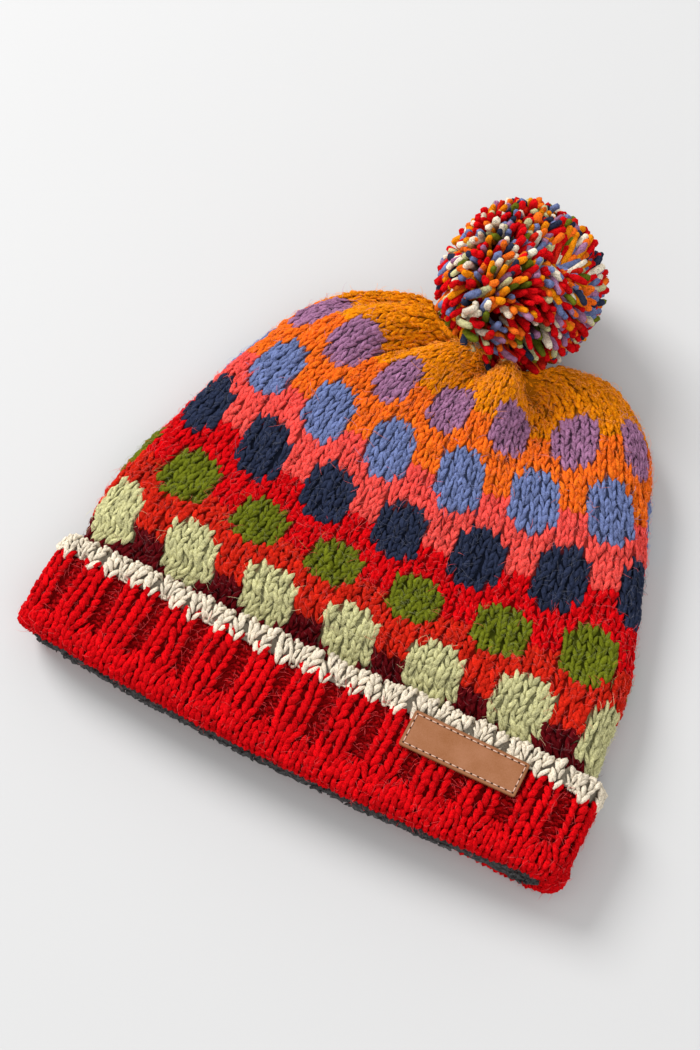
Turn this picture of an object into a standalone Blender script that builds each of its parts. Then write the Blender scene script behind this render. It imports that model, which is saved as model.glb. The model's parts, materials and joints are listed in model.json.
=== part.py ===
"""A knitted bobble hat lying flat on a table.

The crown is a soft hollow bag, drawn together at its far end, where a pompom is tied on. The ribbed cuff is
one band folded double round the opening, finished with an edging, lined with fleece and marked with a blank
leather label. The hat's own axis runs along Y from the opening to the pompom, X runs across it and Z is up.
"""

import math
from collections import namedtuple

import bmesh
import bpy
from mathutils import Vector

# Overall sizes, in metres
BRIM_WIDTH = 0.253
CUFF_HEIGHT = 0.0435
CROWN_REACH = 0.217
CROWN_PUFF = 0.045
GATHER_REACH = 0.192
GATHER_HEIGHT = 0.031
GATHER_DRIFT = 0.0065
ORIGIN_REACH = 0.115

# Fabric and leather thicknesses, and the space between them
KNIT_WALL = 0.0040
RIB_WALL = 0.0042
RIB_RELIEF = 0.0012
LINING_WALL = 0.0018
EDGING_WALL = 0.0050
LABEL_WALL = 0.0014
MOUTH_GAP = 0.0070
MOUTH_CLOSING = 0.0032
FOLD_GAP = 0.0006
PIECE_GAP = 0.0003

# The cuff, measured upwards from its fold
FOLD_REACH = -0.0025
EDGING_HEIGHT = 0.0082
EDGING_ROUND = 0.0017
INNER_LEG_HEIGHT = 0.026
RIB_START = 0.012
LINING_TOP = 0.040
LINING_SHOW = 0.0012
FRONT_BOW = 0.0070
BACK_TUCK = 0.0010
BACK_SKEW = -0.0022

# The label on the cuff
LABEL_LENGTH = 0.051
LABEL_HEIGHT = 0.0145
LABEL_ACROSS = 0.0693
LABEL_UP = 0.0297
LABEL_TILT_DEG = -0.3
LABEL_CORNER = 0.0010

# The pompom and what ties it on
POMPOM_DIAMETER = 0.0790
POMPOM_SAG = 0.0022
POMPOM_SIDESTEP = -0.0075
POMPOM_CLEARANCE = 0.0022
LOCK_LENGTH = 0.0075
LOCK_TAPER = 0.0011
LOCK_SHORTENING = 0.0024
PARTING_DIRECTION = (0.50, 0.05, 0.85)
PARTING_DEPTH = 0.0050
PARTING_SPREAD = 0.34
TIE_RADIUS = 0.0017
TIE_KNOT_RADIUS = 0.0036
TIE_KNOT_DEPTH = 0.0100
TIE_HOLE_CLEARANCE = 0.0012

# Mesh fineness: the rib count sets how many faces go round, three for each rib
RIBS = 26
STEPS_PER_RIB = 3
AROUND = RIBS * STEPS_PER_RIB
STITCHES_AROUND = 104
FOLD_STEPS = 4
LABEL_STEPS = 10
LOCK_SUBDIVISIONS = 3
TIE_SEGMENTS = 8
NORMAL_STEP = 0.0005
WELD = 1e-7

COLOURS = {
    "crown": (0.75, 0.12, 0.06, 1),
    "cuff": (0.62, 0.01, 0.01, 1),
    "cuff_edging": (0.80, 0.75, 0.66, 1),
    "lining": (0.03, 0.03, 0.035, 1),
    "label": (0.50, 0.25, 0.11, 1),
    "pompom": (0.60, 0.16, 0.10, 1),
    "pompom_tie": (0.62, 0.01, 0.01, 1),
}
LEATHER_ROUGHNESS = 0.60
CLOTH_ROUGHNESS = 0.95

# One ring of fabric round the hat. Heights are above the table. The front is the upper layer and the back is
# the one that lies on the table. A layer's reach is its Y at the middle, its smile is how much further its
# sides reach, and its tilt how much further its right side. span is the half width at which these are
# measured, and drop how much lower the front lies there. ends is the share of the ring's length that runs
# round the two side edges.
Ring = namedtuple(
    "Ring",
    "half_width span drift top under edge drop ends"
    " front_reach front_smile front_tilt back_reach back_smile back_tilt",
)

# The crown's sections, from the cuff to the gather. rows is the share of the knitted rows, reach and smile are
# shares of CROWN_REACH, half_width and drift of half of BRIM_WIDTH, and top, under and drop of CROWN_PUFF.
Section = namedtuple("Section", "rows reach smile half_width drift top under drop")
SECTIONS = (
    Section(0.04, 0.219, 0.007, 0.950, -0.004, 0.64, 0.04, 0.10),
    Section(0.08, 0.249, 0.014, 0.954, -0.014, 0.75, 0.00, 0.18),
    Section(0.15, 0.307, 0.035, 0.952, -0.018, 0.74, 0.00, 0.20),
    Section(0.23, 0.360, 0.060, 0.940, -0.020, 0.61, 0.00, 0.14),
    Section(0.31, 0.415, 0.078, 0.904, -0.022, 0.59, 0.00, 0.14),
    Section(0.39, 0.477, 0.090, 0.866, -0.022, 0.69, 0.00, 0.20),
    Section(0.54, 0.611, 0.092, 0.792, -0.026, 0.86, 0.00, 0.30),
    Section(0.69, 0.740, 0.112, 0.676, -0.014, 0.97, 0.00, 0.34),
    Section(0.77, 0.795, 0.130, 0.556, 0.000, 1.00, 0.01, 0.34),
    Section(0.85, 0.837, 0.132, 0.408, 0.020, 0.97, 0.09, 0.30),
    Section(0.92, 0.867, 0.094, 0.238, 0.035, 0.86, 0.27, 0.15),
    Section(0.97, 0.880, 0.036, 0.110, 0.046, 0.78, 0.49, 0.00),
)
EDGE_SHARE = 0.38

# The pleats that the drawn-in gather throws across the crown. column counts stitches to the right of the
# middle, width is in stitches, start and full are shares of the knitted rows between which a pleat grows, and
# height is a share of CROWN_PUFF, below zero for a valley.
Pleat = namedtuple("Pleat", "column width start full height")
PLEATS = (
    Pleat(-25, 3.0, 0.60, 0.82, 0.10),
    Pleat(-20.5, 2.6, 0.66, 0.84, -0.08),
    Pleat(-16, 3.0, 0.56, 0.80, 0.12),
    Pleat(-11.5, 2.4, 0.62, 0.80, -0.14),
    Pleat(-6, 3.2, 0.60, 0.82, 0.11),
    Pleat(-0.5, 2.4, 0.64, 0.80, -0.07),
    Pleat(5, 3.0, 0.50, 0.80, 0.15),
    Pleat(11, 3.6, 0.56, 0.80, -0.26),
    Pleat(18.5, 3.6, 0.62, 0.82, 0.03),
    Pleat(28, 4.0, 0.60, 0.84, 0.07),
)
BACK_PLEATS = tuple(
    Pleat(column, 3.0, 0.62, 0.84, height)
    for first, height in ((38, 0.05), (42, -0.05))
    for column in range(first, 70, 8)
)
RIDGE_SHARE_INSIDE = 0.35
PLEAT_FADE = (0.93, 0.99)

# Where the crown's mesh has its rings, as shares of the knitted rows, outside and inside
TUCKED_ROWS = -0.08
OUTER_ROWS = (
    TUCKED_ROWS, 0.0, 0.04, 0.08, 0.15, 0.23, 0.31, 0.39, 0.47, 0.54, 0.61,
    0.66, 0.71, 0.76, 0.81, 0.86, 0.91, 0.96, 1.0,
)  # fmt: skip
INNER_ROWS = (1.0, 0.94, 0.86, 0.76, 0.66, 0.54, 0.39, 0.23, 0.08, 0.0, TUCKED_ROWS)

# The fold is stacked outwards from the mouth: lining, inner leg, outer leg, and the edging over the latter
INNER_LEG_IN = LINING_WALL + PIECE_GAP
INNER_LEG_OUT = INNER_LEG_IN + RIB_WALL
CROWN_TUCKED_OUT = INNER_LEG_IN + KNIT_WALL
OUTER_LEG_IN = max(INNER_LEG_OUT, CROWN_TUCKED_OUT) + FOLD_GAP
OUTER_LEG_OUT = OUTER_LEG_IN + RIB_WALL
EDGING_OUT = OUTER_LEG_IN + EDGING_WALL
OUTER_LEG_TOP = CUFF_HEIGHT - EDGING_HEIGHT
MOUTH_HALF_WIDTH = BRIM_WIDTH / 2 - max(OUTER_LEG_OUT, EDGING_OUT)
MOUTH_HEIGHT = MOUTH_GAP / 2 + OUTER_LEG_OUT

POMPOM_RADIUS = POMPOM_DIAMETER / 2
TIE_HOLE_RADIUS = TIE_RADIUS + TIE_HOLE_CLEARANCE
GATHER = Vector((GATHER_DRIFT, GATHER_REACH, GATHER_HEIGHT))
POMPOM_DISTANCE = POMPOM_RADIUS + POMPOM_CLEARANCE
POMPOM_RISE = POMPOM_RADIUS - POMPOM_SAG - GATHER_HEIGHT
POMPOM_ADVANCE = math.sqrt(POMPOM_DISTANCE**2 - POMPOM_SIDESTEP**2 - POMPOM_RISE**2)
POMPOM_CENTRE = GATHER + Vector((POMPOM_SIDESTEP, POMPOM_ADVANCE, POMPOM_RISE))


def smoothstep(low, high, value):
    share = min(1.0, max(0.0, (value - low) / (high - low)))
    return share * share * (3 - 2 * share)


def ends_share(half_width, half_depth):
    """The share of a ring's length that runs round its two side edges."""
    round_length = 2 * math.pi * half_depth
    return round_length / (4 * (half_width - half_depth) + round_length)


def cuff_ring(up, out):
    """The ring of the folded band at a height up from the fold and a depth out from the mouth."""
    fade = 1 - up / CUFF_HEIGHT
    return Ring(
        half_width=MOUTH_HALF_WIDTH + out,
        span=BRIM_WIDTH / 2,
        drift=0.0,
        top=MOUTH_HEIGHT + MOUTH_GAP / 2 + out,
        under=MOUTH_HEIGHT - MOUTH_GAP / 2 - out,
        edge=MOUTH_HEIGHT,
        drop=MOUTH_CLOSING,
        ends=ends_share(BRIM_WIDTH / 2, MOUTH_HEIGHT),
        front_reach=FOLD_REACH + up - FRONT_BOW * fade,
        front_smile=FRONT_BOW * fade,
        front_tilt=0.0,
        back_reach=FOLD_REACH + up + BACK_TUCK * fade,
        back_smile=-BACK_TUCK * fade,
        back_tilt=BACK_SKEW * fade,
    )


def section_ring(section):
    """The ring of one row of SECTIONS, at its real size."""
    reach = section.reach * CROWN_REACH
    smile = section.smile * CROWN_REACH
    top = section.top * CROWN_PUFF
    under = section.under * CROWN_PUFF
    half_width = section.half_width * BRIM_WIDTH / 2
    return Ring(
        half_width=half_width,
        span=half_width,
        drift=section.drift * BRIM_WIDTH / 2,
        top=top,
        under=under,
        edge=under + EDGE_SHARE * (top - under),
        drop=section.drop * CROWN_PUFF,
        ends=ends_share(half_width, (top - under) / 2),
        front_reach=reach,
        front_smile=smile,
        front_tilt=0.0,
        back_reach=reach,
        back_smile=smile,
        back_tilt=0.0,
    )


def gather_ring():
    """The hole that the crown is drawn in to, round the pompom's tie."""
    return Ring(
        half_width=TIE_HOLE_RADIUS,
        span=TIE_HOLE_RADIUS,
        drift=GATHER_DRIFT,
        top=GATHER_HEIGHT + TIE_HOLE_RADIUS,
        under=GATHER_HEIGHT - TIE_HOLE_RADIUS,
        edge=GATHER_HEIGHT,
        drop=0.0,
        ends=1.0,
        front_reach=GATHER_REACH,
        front_smile=0.0,
        front_tilt=0.0,
        back_reach=GATHER_REACH,
        back_smile=0.0,
        back_tilt=0.0,
    )


def tucked_ring(rows, depth):
    """The crown inside the cuff, depth below its outer surface."""
    hidden = CUFF_HEIGHT - INNER_LEG_HEIGHT - PIECE_GAP
    return cuff_ring(CUFF_HEIGHT - hidden * rows / TUCKED_ROWS, CROWN_TUCKED_OUT - depth)


def crown_rings():
    """(share of the rows, ring) from the crown's end inside the cuff to the hole at its gather."""
    rings = [(rows, tucked_ring(rows, 0.0)) for rows in (TUCKED_ROWS, 0.0)]
    rings += [(section.rows, section_ring(section)) for section in SECTIONS]
    return rings + [(1.0, gather_ring())]


def steady_slopes(places, values):
    """Slopes for a curve through the values that never swings past them."""
    steps = [
        (b - a) / (q - p)
        for p, q, a, b in zip(places, places[1:], values, values[1:])
    ]
    inner = [
        2 * a * b / (a + b) if a * b > 0 else 0.0 for a, b in zip(steps, steps[1:])
    ]
    return [steps[0]] + inner + [steps[-1]]


def curve_through(places, values):
    """A smooth function of place that takes these values."""
    slopes = steady_slopes(places, values)

    def at(place):
        i = sum(place >= p for p in places[1:-1])
        width = places[i + 1] - places[i]
        t = (place - places[i]) / width
        return (
            (1 + 2 * t) * (1 - t) ** 2 * values[i]
            + t * (1 - t) ** 2 * width * slopes[i]
            + t * t * (3 - 2 * t) * values[i + 1]
            + t * t * (t - 1) * width * slopes[i + 1]
        )

    return at


CROWN_RINGS = crown_rings()
CROWN_CURVES = [
    curve_through([rows for rows, _ in CROWN_RINGS], values)
    for values in zip(*(ring for _, ring in CROWN_RINGS))
]


def ring_point(turn, ring):
    """The point at a turn of 0 to 1 round a ring, from its right edge over the front to the left and back."""
    turn %= 1.0
    half_depth = (ring.top - ring.under) / 2
    quarter = ring.ends / 4
    flat = 0.5 - 2 * quarter
    on_front = turn < 0.5
    along = turn if on_front else turn - 0.5
    if along < quarter:
        angle = math.pi / 2 * along / quarter
        slide = 1.0
    elif along < quarter + flat:
        angle = math.pi / 2
        slide = 1 - 2 * (along - quarter) / flat
    else:
        angle = math.pi / 2 * (1 + (along - quarter - flat) / quarter)
        slide = -1.0
    across = (ring.half_width - half_depth) * slide + half_depth * math.cos(angle)
    level = math.sin(angle)
    if not on_front:
        across = -across
        level = -level
    share = across / ring.span
    if on_front:
        height = ring.edge + level * (ring.top - ring.drop * share**2 - ring.edge)
    else:
        height = ring.edge + level * (ring.edge - ring.under)
    front = smoothstep(-1, 1, level)
    front_y = ring.front_reach + ring.front_smile * share**2 + ring.front_tilt * share
    back_y = ring.back_reach + ring.back_smile * share**2 + ring.back_tilt * share
    return Vector((across + ring.drift, front * front_y + (1 - front) * back_y, height))


def crown_base(turn, rows):
    """The crown's outer surface without its pleats."""
    return ring_point(turn, Ring(*(curve(rows) for curve in CROWN_CURVES)))


def pleat_height(turn, rows):
    """How far the pleats lift the crown's surface."""
    column = STITCHES_AROUND * (0.25 - turn)
    half_turn = STITCHES_AROUND / 2
    height = 0.0
    for pleat in PLEATS + BACK_PLEATS:
        off = (column - pleat.column + half_turn) % STITCHES_AROUND - half_turn
        grown = smoothstep(pleat.start, pleat.full, rows)
        height += pleat.height * grown * math.exp(-((off / pleat.width) ** 2))
    return height * CROWN_PUFF * (1 - smoothstep(*PLEAT_FADE, rows))


def clear_of_pompom(point, clearance):
    """The point, pushed out of the ball that the pompom fills."""
    away = point - POMPOM_CENTRE
    least = POMPOM_RADIUS + clearance
    return point if away.length >= least else POMPOM_CENTRE + away.normalized() * least


def crown_point(turn, rows, depth):
    """A point of the crown's wall, depth below its outer surface and never below the table."""
    if rows <= 0:
        return ring_point(turn, tucked_ring(rows, depth))
    base = crown_base(turn, rows)
    if rows >= 1:
        return base - Vector((0, depth, 0))
    around = crown_base(turn + NORMAL_STEP, rows) - crown_base(turn - NORMAL_STEP, rows)
    along = crown_base(turn, rows + NORMAL_STEP) - crown_base(turn, rows - NORMAL_STEP)
    normal = along.cross(around).normalized()
    height = pleat_height(turn, rows)
    if height > 0:
        height *= 1 - (1 - RIDGE_SHARE_INSIDE) * depth / KNIT_WALL
    point = clear_of_pompom(base + normal * (height - depth), POMPOM_CLEARANCE + depth)
    return Vector((point.x, point.y, max(point.z, depth)))


def clear_scene():
    for obj in list(bpy.data.objects):
        bpy.data.objects.remove(obj, do_unlink=True)


def add_object(name, bm, roughness=CLOTH_ROUGHNESS):
    """Make the mesh one object of its own colour, with its place counted from the model's origin."""
    bmesh.ops.translate(bm, verts=bm.verts, vec=(0, -ORIGIN_REACH, 0))
    bmesh.ops.recalc_face_normals(bm, faces=bm.faces)
    mesh = bpy.data.meshes.new(name)
    bm.to_mesh(mesh)
    bm.free()
    material = bpy.data.materials.new(name)
    material.use_nodes = True
    shader = material.node_tree.nodes["Principled BSDF"]
    shader.inputs["Base Color"].default_value = COLOURS[name]
    shader.inputs["Roughness"].default_value = roughness
    mesh.materials.append(material)
    bpy.context.scene.collection.objects.link(bpy.data.objects.new(name, mesh))


def ring_shell(name, stations, place):
    """Bend a grid round the hat and close it on itself. place gives the point for a column and a station."""
    bm = bmesh.new()
    bmesh.ops.create_grid(bm, x_segments=AROUND, y_segments=len(stations), size=1)
    for vertex in bm.verts:
        column = round((vertex.co.x + 1) / 2 * AROUND) % AROUND
        station = round((vertex.co.y + 1) / 2 * len(stations)) % len(stations)
        vertex.co = place(column, stations[station])
    bmesh.ops.remove_doubles(bm, verts=bm.verts, dist=WELD)
    add_object(name, bm)


def build_crown():
    stations = [(rows, 0.0) for rows in OUTER_ROWS]
    stations += [(rows, KNIT_WALL) for rows in INNER_ROWS]

    def place(column, station):
        rows, depth = station
        return crown_point(column / AROUND, rows, depth)

    ring_shell("crown", stations, place)


def cuff_point(column, up, out):
    """A point of the cuff, kept above the table that it rests on."""
    point = ring_point(column / AROUND, cuff_ring(up, out))
    return Vector((point.x, point.y, max(point.z, 0.0)))


def build_cuff():
    """The folded band: its inner leg, the round fold and the ribbed outer leg, as one section all round."""
    fold_middle = (INNER_LEG_IN + OUTER_LEG_OUT) / 2
    fold_radius = (OUTER_LEG_OUT - INNER_LEG_IN) / 2
    stations = [(INNER_LEG_HEIGHT, INNER_LEG_IN, 0)]
    for step in range(FOLD_STEPS + 1):
        angle = math.pi * step / FOLD_STEPS
        up = fold_radius * (1 - math.sin(angle))
        stations.append((up, fold_middle - fold_radius * math.cos(angle), 0))
    for up in (RIB_START, (RIB_START + OUTER_LEG_TOP) / 2, OUTER_LEG_TOP):
        stations.append((up, OUTER_LEG_OUT, RIB_RELIEF))
    stations += [
        (OUTER_LEG_TOP, OUTER_LEG_IN, 0),
        (RIB_WALL, OUTER_LEG_IN, 0),
        (RIB_WALL, INNER_LEG_OUT, 0),
        (INNER_LEG_HEIGHT, INNER_LEG_OUT, 0),
    ]

    def place(column, station):
        up, out, relief = station
        in_valley = column % STEPS_PER_RIB == 0
        return cuff_point(column, up, out - relief * in_valley)

    ring_shell("cuff", stations, place)


def build_edging():
    low = OUTER_LEG_TOP + PIECE_GAP
    stations = [
        (low, OUTER_LEG_IN),
        (low, EDGING_OUT - EDGING_ROUND),
        (low + EDGING_ROUND, EDGING_OUT),
        (CUFF_HEIGHT - EDGING_ROUND, EDGING_OUT),
        (CUFF_HEIGHT, EDGING_OUT - EDGING_ROUND),
        (CUFF_HEIGHT, OUTER_LEG_IN + EDGING_ROUND),
        (CUFF_HEIGHT - EDGING_ROUND, OUTER_LEG_IN),
    ]

    def place(column, station):
        return cuff_point(column, *station)

    ring_shell("cuff_edging", stations, place)


def build_lining():
    stations = [
        (-LINING_SHOW, 0.0),
        (-LINING_SHOW, LINING_WALL),
        (INNER_LEG_HEIGHT, LINING_WALL),
        (LINING_TOP, LINING_WALL),
        (LINING_TOP, 0.0),
        (INNER_LEG_HEIGHT, 0.0),
    ]

    def place(column, station):
        return cuff_point(column, *station)

    ring_shell("lining", stations, place)


def build_label():
    """A thin plate with cut corners, bent to the front of the cuff and over the edging's lower part."""
    middle_out = max(OUTER_LEG_OUT, EDGING_OUT) + PIECE_GAP + LABEL_WALL / 2
    bm = bmesh.new()
    bmesh.ops.create_cube(bm, size=1)
    bmesh.ops.scale(bm, verts=bm.verts, vec=(LABEL_LENGTH, LABEL_HEIGHT, LABEL_WALL))
    upright = [edge for edge in bm.edges if abs(edge.verts[0].co.z - edge.verts[1].co.z) > WELD]
    bmesh.ops.bevel(
        bm, geom=upright, offset=LABEL_CORNER, segments=2, profile=0.5, affect="EDGES", material=-1
    )
    for step in range(1, LABEL_STEPS):
        cut = LABEL_LENGTH * (step / LABEL_STEPS - 0.5)
        geom = list(bm.verts) + list(bm.edges) + list(bm.faces)
        bmesh.ops.bisect_plane(bm, geom=geom, plane_co=(cut, 0, 0), plane_no=(1, 0, 0))
    tilt = math.radians(LABEL_TILT_DEG)
    for vertex in bm.verts:
        x, y, z = vertex.co
        across = LABEL_ACROSS + x * math.cos(tilt) - y * math.sin(tilt)
        up = LABEL_UP + x * math.sin(tilt) + y * math.cos(tilt)
        ring = cuff_ring(up, middle_out + z)
        share = across / ring.span
        reach = ring.front_reach + ring.front_smile * share**2 + ring.front_tilt * share
        vertex.co = Vector((across, reach, ring.top - ring.drop * share**2))
    add_object("label", bm, LEATHER_ROUGHNESS)


def lock_end(direction, number):
    """How far from the pompom's middle the end of a lock stands. The first lock meets the tie."""
    if number == 0:
        return POMPOM_RADIUS
    uneven = 0.5 + 0.5 * math.sin(number * math.e * math.pi)
    apart = (direction - Vector(PARTING_DIRECTION).normalized()).length
    parting = PARTING_DEPTH * math.exp(-((apart / PARTING_SPREAD) ** 2))
    return POMPOM_RADIUS - LOCK_SHORTENING * uneven - parting


def build_pompom():
    """A ball whose every face stands out as one lock, flattened where it lies on the table."""
    bm = bmesh.new()
    core = POMPOM_RADIUS - LOCK_LENGTH
    bmesh.ops.create_icosphere(bm, subdivisions=LOCK_SUBDIVISIONS, radius=core)
    locks = list(bm.faces)
    to_tie = locks[0].calc_center_median().rotation_difference(GATHER - POMPOM_CENTRE)
    bmesh.ops.rotate(bm, verts=bm.verts, matrix=to_tie.to_matrix())
    bmesh.ops.inset_individual(bm, faces=locks, thickness=LOCK_TAPER, depth=0)
    for number, lock in enumerate(locks):
        middle = lock.calc_center_median()
        direction = middle.normalized()
        rise = lock_end(direction, number) - middle.length
        bmesh.ops.translate(bm, verts=lock.verts, vec=direction * rise)
    bmesh.ops.translate(bm, verts=bm.verts, vec=POMPOM_CENTRE)
    for vertex in bm.verts:
        vertex.co.z = max(vertex.co.z, 0.0)
    add_object("pompom", bm)


def build_tie():
    """A short neck of yarn through the gather, with a knot inside the crown that holds it."""
    knot_start = -TIE_KNOT_DEPTH - TIE_KNOT_RADIUS
    rings = (
        (knot_start, TIE_RADIUS),
        (knot_start + TIE_KNOT_RADIUS / 2, TIE_KNOT_RADIUS),
        (knot_start + TIE_KNOT_RADIUS * 3 / 2, TIE_KNOT_RADIUS),
        (knot_start + TIE_KNOT_RADIUS * 2, TIE_RADIUS),
        (POMPOM_CLEARANCE - PIECE_GAP, TIE_RADIUS),
    )
    axis = (POMPOM_CENTRE - GATHER).normalized()
    turn = Vector((0, 0, 1)).rotation_difference(axis).to_matrix()
    bm = bmesh.new()
    bmesh.ops.create_cone(
        bm, cap_ends=True, segments=TIE_SEGMENTS, radius1=1, radius2=1, depth=1
    )
    for step in range(1, len(rings) - 1):
        geom = list(bm.verts) + list(bm.edges) + list(bm.faces)
        level = step / (len(rings) - 1) - 0.5
        bmesh.ops.bisect_plane(bm, geom=geom, plane_co=(0, 0, level), plane_no=(0, 0, 1))
    for vertex in bm.verts:
        along, radius = rings[round((vertex.co.z + 0.5) * (len(rings) - 1))]
        vertex.co = GATHER + turn @ Vector((vertex.co.x * radius, vertex.co.y * radius, along))
    add_object("pompom_tie", bm)


def main():
    clear_scene()
    build_crown()
    build_cuff()
    build_edging()
    build_lining()
    build_label()
    build_pompom()
    build_tie()


main()
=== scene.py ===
import json
import math
from collections import namedtuple

import bmesh
import bpy
import numpy as np
from bpy.props import FloatProperty, FloatVectorProperty, IntProperty, PointerProperty
from bpy.types import Operator, Panel, PropertyGroup
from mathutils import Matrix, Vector

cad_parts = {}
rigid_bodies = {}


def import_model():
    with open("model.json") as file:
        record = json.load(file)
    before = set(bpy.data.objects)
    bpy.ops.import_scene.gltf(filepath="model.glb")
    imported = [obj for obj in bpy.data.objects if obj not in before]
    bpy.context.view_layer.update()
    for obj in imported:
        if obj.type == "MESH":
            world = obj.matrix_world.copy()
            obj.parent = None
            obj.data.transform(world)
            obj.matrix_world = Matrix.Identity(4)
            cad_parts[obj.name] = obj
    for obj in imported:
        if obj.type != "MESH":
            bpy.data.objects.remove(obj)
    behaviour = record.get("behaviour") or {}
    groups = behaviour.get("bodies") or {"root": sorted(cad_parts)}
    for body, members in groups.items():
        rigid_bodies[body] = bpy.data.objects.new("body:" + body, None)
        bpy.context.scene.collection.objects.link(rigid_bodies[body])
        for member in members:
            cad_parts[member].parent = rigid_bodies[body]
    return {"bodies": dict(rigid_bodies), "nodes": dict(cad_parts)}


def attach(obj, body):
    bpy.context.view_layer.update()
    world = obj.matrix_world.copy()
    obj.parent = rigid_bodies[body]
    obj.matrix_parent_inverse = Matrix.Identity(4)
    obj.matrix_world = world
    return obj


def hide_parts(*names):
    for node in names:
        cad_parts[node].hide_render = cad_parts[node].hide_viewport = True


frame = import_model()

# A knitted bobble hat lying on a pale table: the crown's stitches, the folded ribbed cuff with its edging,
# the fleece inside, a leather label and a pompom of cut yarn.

bl_info = {
    "name": "Knitted bobble hat",
    "version": (1, 0, 0),
    "blender": (4, 5, 0),
    "location": "3D View > Sidebar > Hat",
    "description": "Dresses the hat's solids with stitches, yarn, fleece and leather",
    "category": "Object",
}

# The hat's sizes, as in its solid model, in metres
BRIM_WIDTH = 0.253
CUFF_HEIGHT = 0.0435
CROWN_REACH = 0.217
CROWN_PUFF = 0.045
GATHER_REACH = 0.192
GATHER_HEIGHT = 0.031
GATHER_DRIFT = 0.0065
ORIGIN_REACH = 0.115
KNIT_WALL = 0.0040
RIB_WALL = 0.0042
LINING_WALL = 0.0018
EDGING_WALL = 0.0050
LABEL_WALL = 0.0014
MOUTH_GAP = 0.0070
MOUTH_CLOSING = 0.0032
FOLD_GAP = 0.0006
PIECE_GAP = 0.0003
FOLD_REACH = -0.0025
EDGING_HEIGHT = 0.0082
INNER_LEG_HEIGHT = 0.026
LINING_TOP = 0.040
LINING_SHOW = 0.0012
FRONT_BOW = 0.0070
BACK_TUCK = 0.0010
BACK_SKEW = -0.0022
LABEL_LENGTH = 0.051
LABEL_HEIGHT = 0.0145
LABEL_ACROSS = 0.0693
LABEL_UP = 0.0297
LABEL_TILT = math.radians(-0.3)
LABEL_CORNER = 0.0010
POMPOM_RADIUS = 0.0395
POMPOM_SAG = 0.0022
POMPOM_SIDESTEP = -0.0075
POMPOM_CLEARANCE = 0.0022
TIE_KNOT_RADIUS = 0.0036
TIE_KNOT_DEPTH = 0.0100
TIE_HOLE_RADIUS = 0.0029
PARTING = Vector((0.50, 0.05, 0.85)).normalized()

COLUMNS = 104
EDGE_SHARE = 0.38
TUCKED_ROWS = -0.08
PLEAT_FADE = (0.93, 0.99)

INNER_LEG_IN = LINING_WALL + PIECE_GAP
INNER_LEG_OUT = INNER_LEG_IN + RIB_WALL
CROWN_TUCKED_OUT = INNER_LEG_IN + KNIT_WALL
OUTER_LEG_IN = max(INNER_LEG_OUT, CROWN_TUCKED_OUT) + FOLD_GAP
OUTER_LEG_OUT = OUTER_LEG_IN + RIB_WALL
EDGING_OUT = OUTER_LEG_IN + EDGING_WALL
OUTER_LEG_TOP = CUFF_HEIGHT - EDGING_HEIGHT
MOUTH_HALF_WIDTH = BRIM_WIDTH / 2 - max(OUTER_LEG_OUT, EDGING_OUT)
MOUTH_HEIGHT = MOUTH_GAP / 2 + OUTER_LEG_OUT
FOLD_MIDDLE = (INNER_LEG_IN + OUTER_LEG_OUT) / 2
FOLD_RADIUS = (OUTER_LEG_OUT - INNER_LEG_IN) / 2
FOLD_QUARTER = FOLD_RADIUS * math.pi / 2

GATHER = Vector((GATHER_DRIFT, GATHER_REACH, GATHER_HEIGHT))
POMPOM_RISE = POMPOM_RADIUS - POMPOM_SAG - GATHER_HEIGHT
POMPOM_ADVANCE = math.sqrt(
    (POMPOM_RADIUS + POMPOM_CLEARANCE) ** 2 - POMPOM_SIDESTEP**2 - POMPOM_RISE**2
)
POMPOM_CENTRE = GATHER + Vector((POMPOM_SIDESTEP, POMPOM_ADVANCE, POMPOM_RISE))

Ring = namedtuple(
    "Ring",
    "half_width span drift top under edge drop ends"
    " front_reach front_smile front_tilt back_reach back_smile back_tilt",
)
Section = namedtuple("Section", "rows reach smile half_width drift top under drop")
SECTIONS = (
    Section(0.04, 0.219, 0.007, 0.950, -0.004, 0.64, 0.04, 0.10),
    Section(0.08, 0.249, 0.014, 0.954, -0.014, 0.75, 0.00, 0.18),
    Section(0.15, 0.307, 0.035, 0.952, -0.018, 0.74, 0.00, 0.20),
    Section(0.23, 0.360, 0.060, 0.940, -0.020, 0.61, 0.00, 0.14),
    Section(0.31, 0.415, 0.078, 0.904, -0.022, 0.59, 0.00, 0.14),
    Section(0.39, 0.477, 0.090, 0.866, -0.022, 0.69, 0.00, 0.20),
    Section(0.54, 0.611, 0.092, 0.792, -0.026, 0.86, 0.00, 0.30),
    Section(0.69, 0.740, 0.112, 0.676, -0.014, 0.97, 0.00, 0.34),
    Section(0.77, 0.795, 0.130, 0.556, 0.000, 1.00, 0.01, 0.34),
    Section(0.85, 0.837, 0.132, 0.408, 0.020, 0.97, 0.09, 0.30),
    Section(0.92, 0.867, 0.094, 0.238, 0.035, 0.86, 0.27, 0.15),
    Section(0.97, 0.880, 0.036, 0.110, 0.046, 0.78, 0.49, 0.00),
)
Pleat = namedtuple("Pleat", "column width start full height")
PLEATS = (
    Pleat(-25, 3.0, 0.60, 0.82, 0.10),
    Pleat(-20.5, 2.6, 0.66, 0.84, -0.08),
    Pleat(-16, 3.0, 0.56, 0.80, 0.12),
    Pleat(-11.5, 2.4, 0.62, 0.80, -0.19),
    Pleat(-6, 3.2, 0.60, 0.82, 0.11),
    Pleat(-0.5, 2.4, 0.64, 0.80, -0.12),
    Pleat(5, 3.2, 0.50, 0.80, 0.12),
    Pleat(11, 3.6, 0.56, 0.80, -0.34),
    Pleat(18.5, 3.6, 0.62, 0.82, 0.03),
    Pleat(28, 4.0, 0.60, 0.84, 0.07),
)
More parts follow.
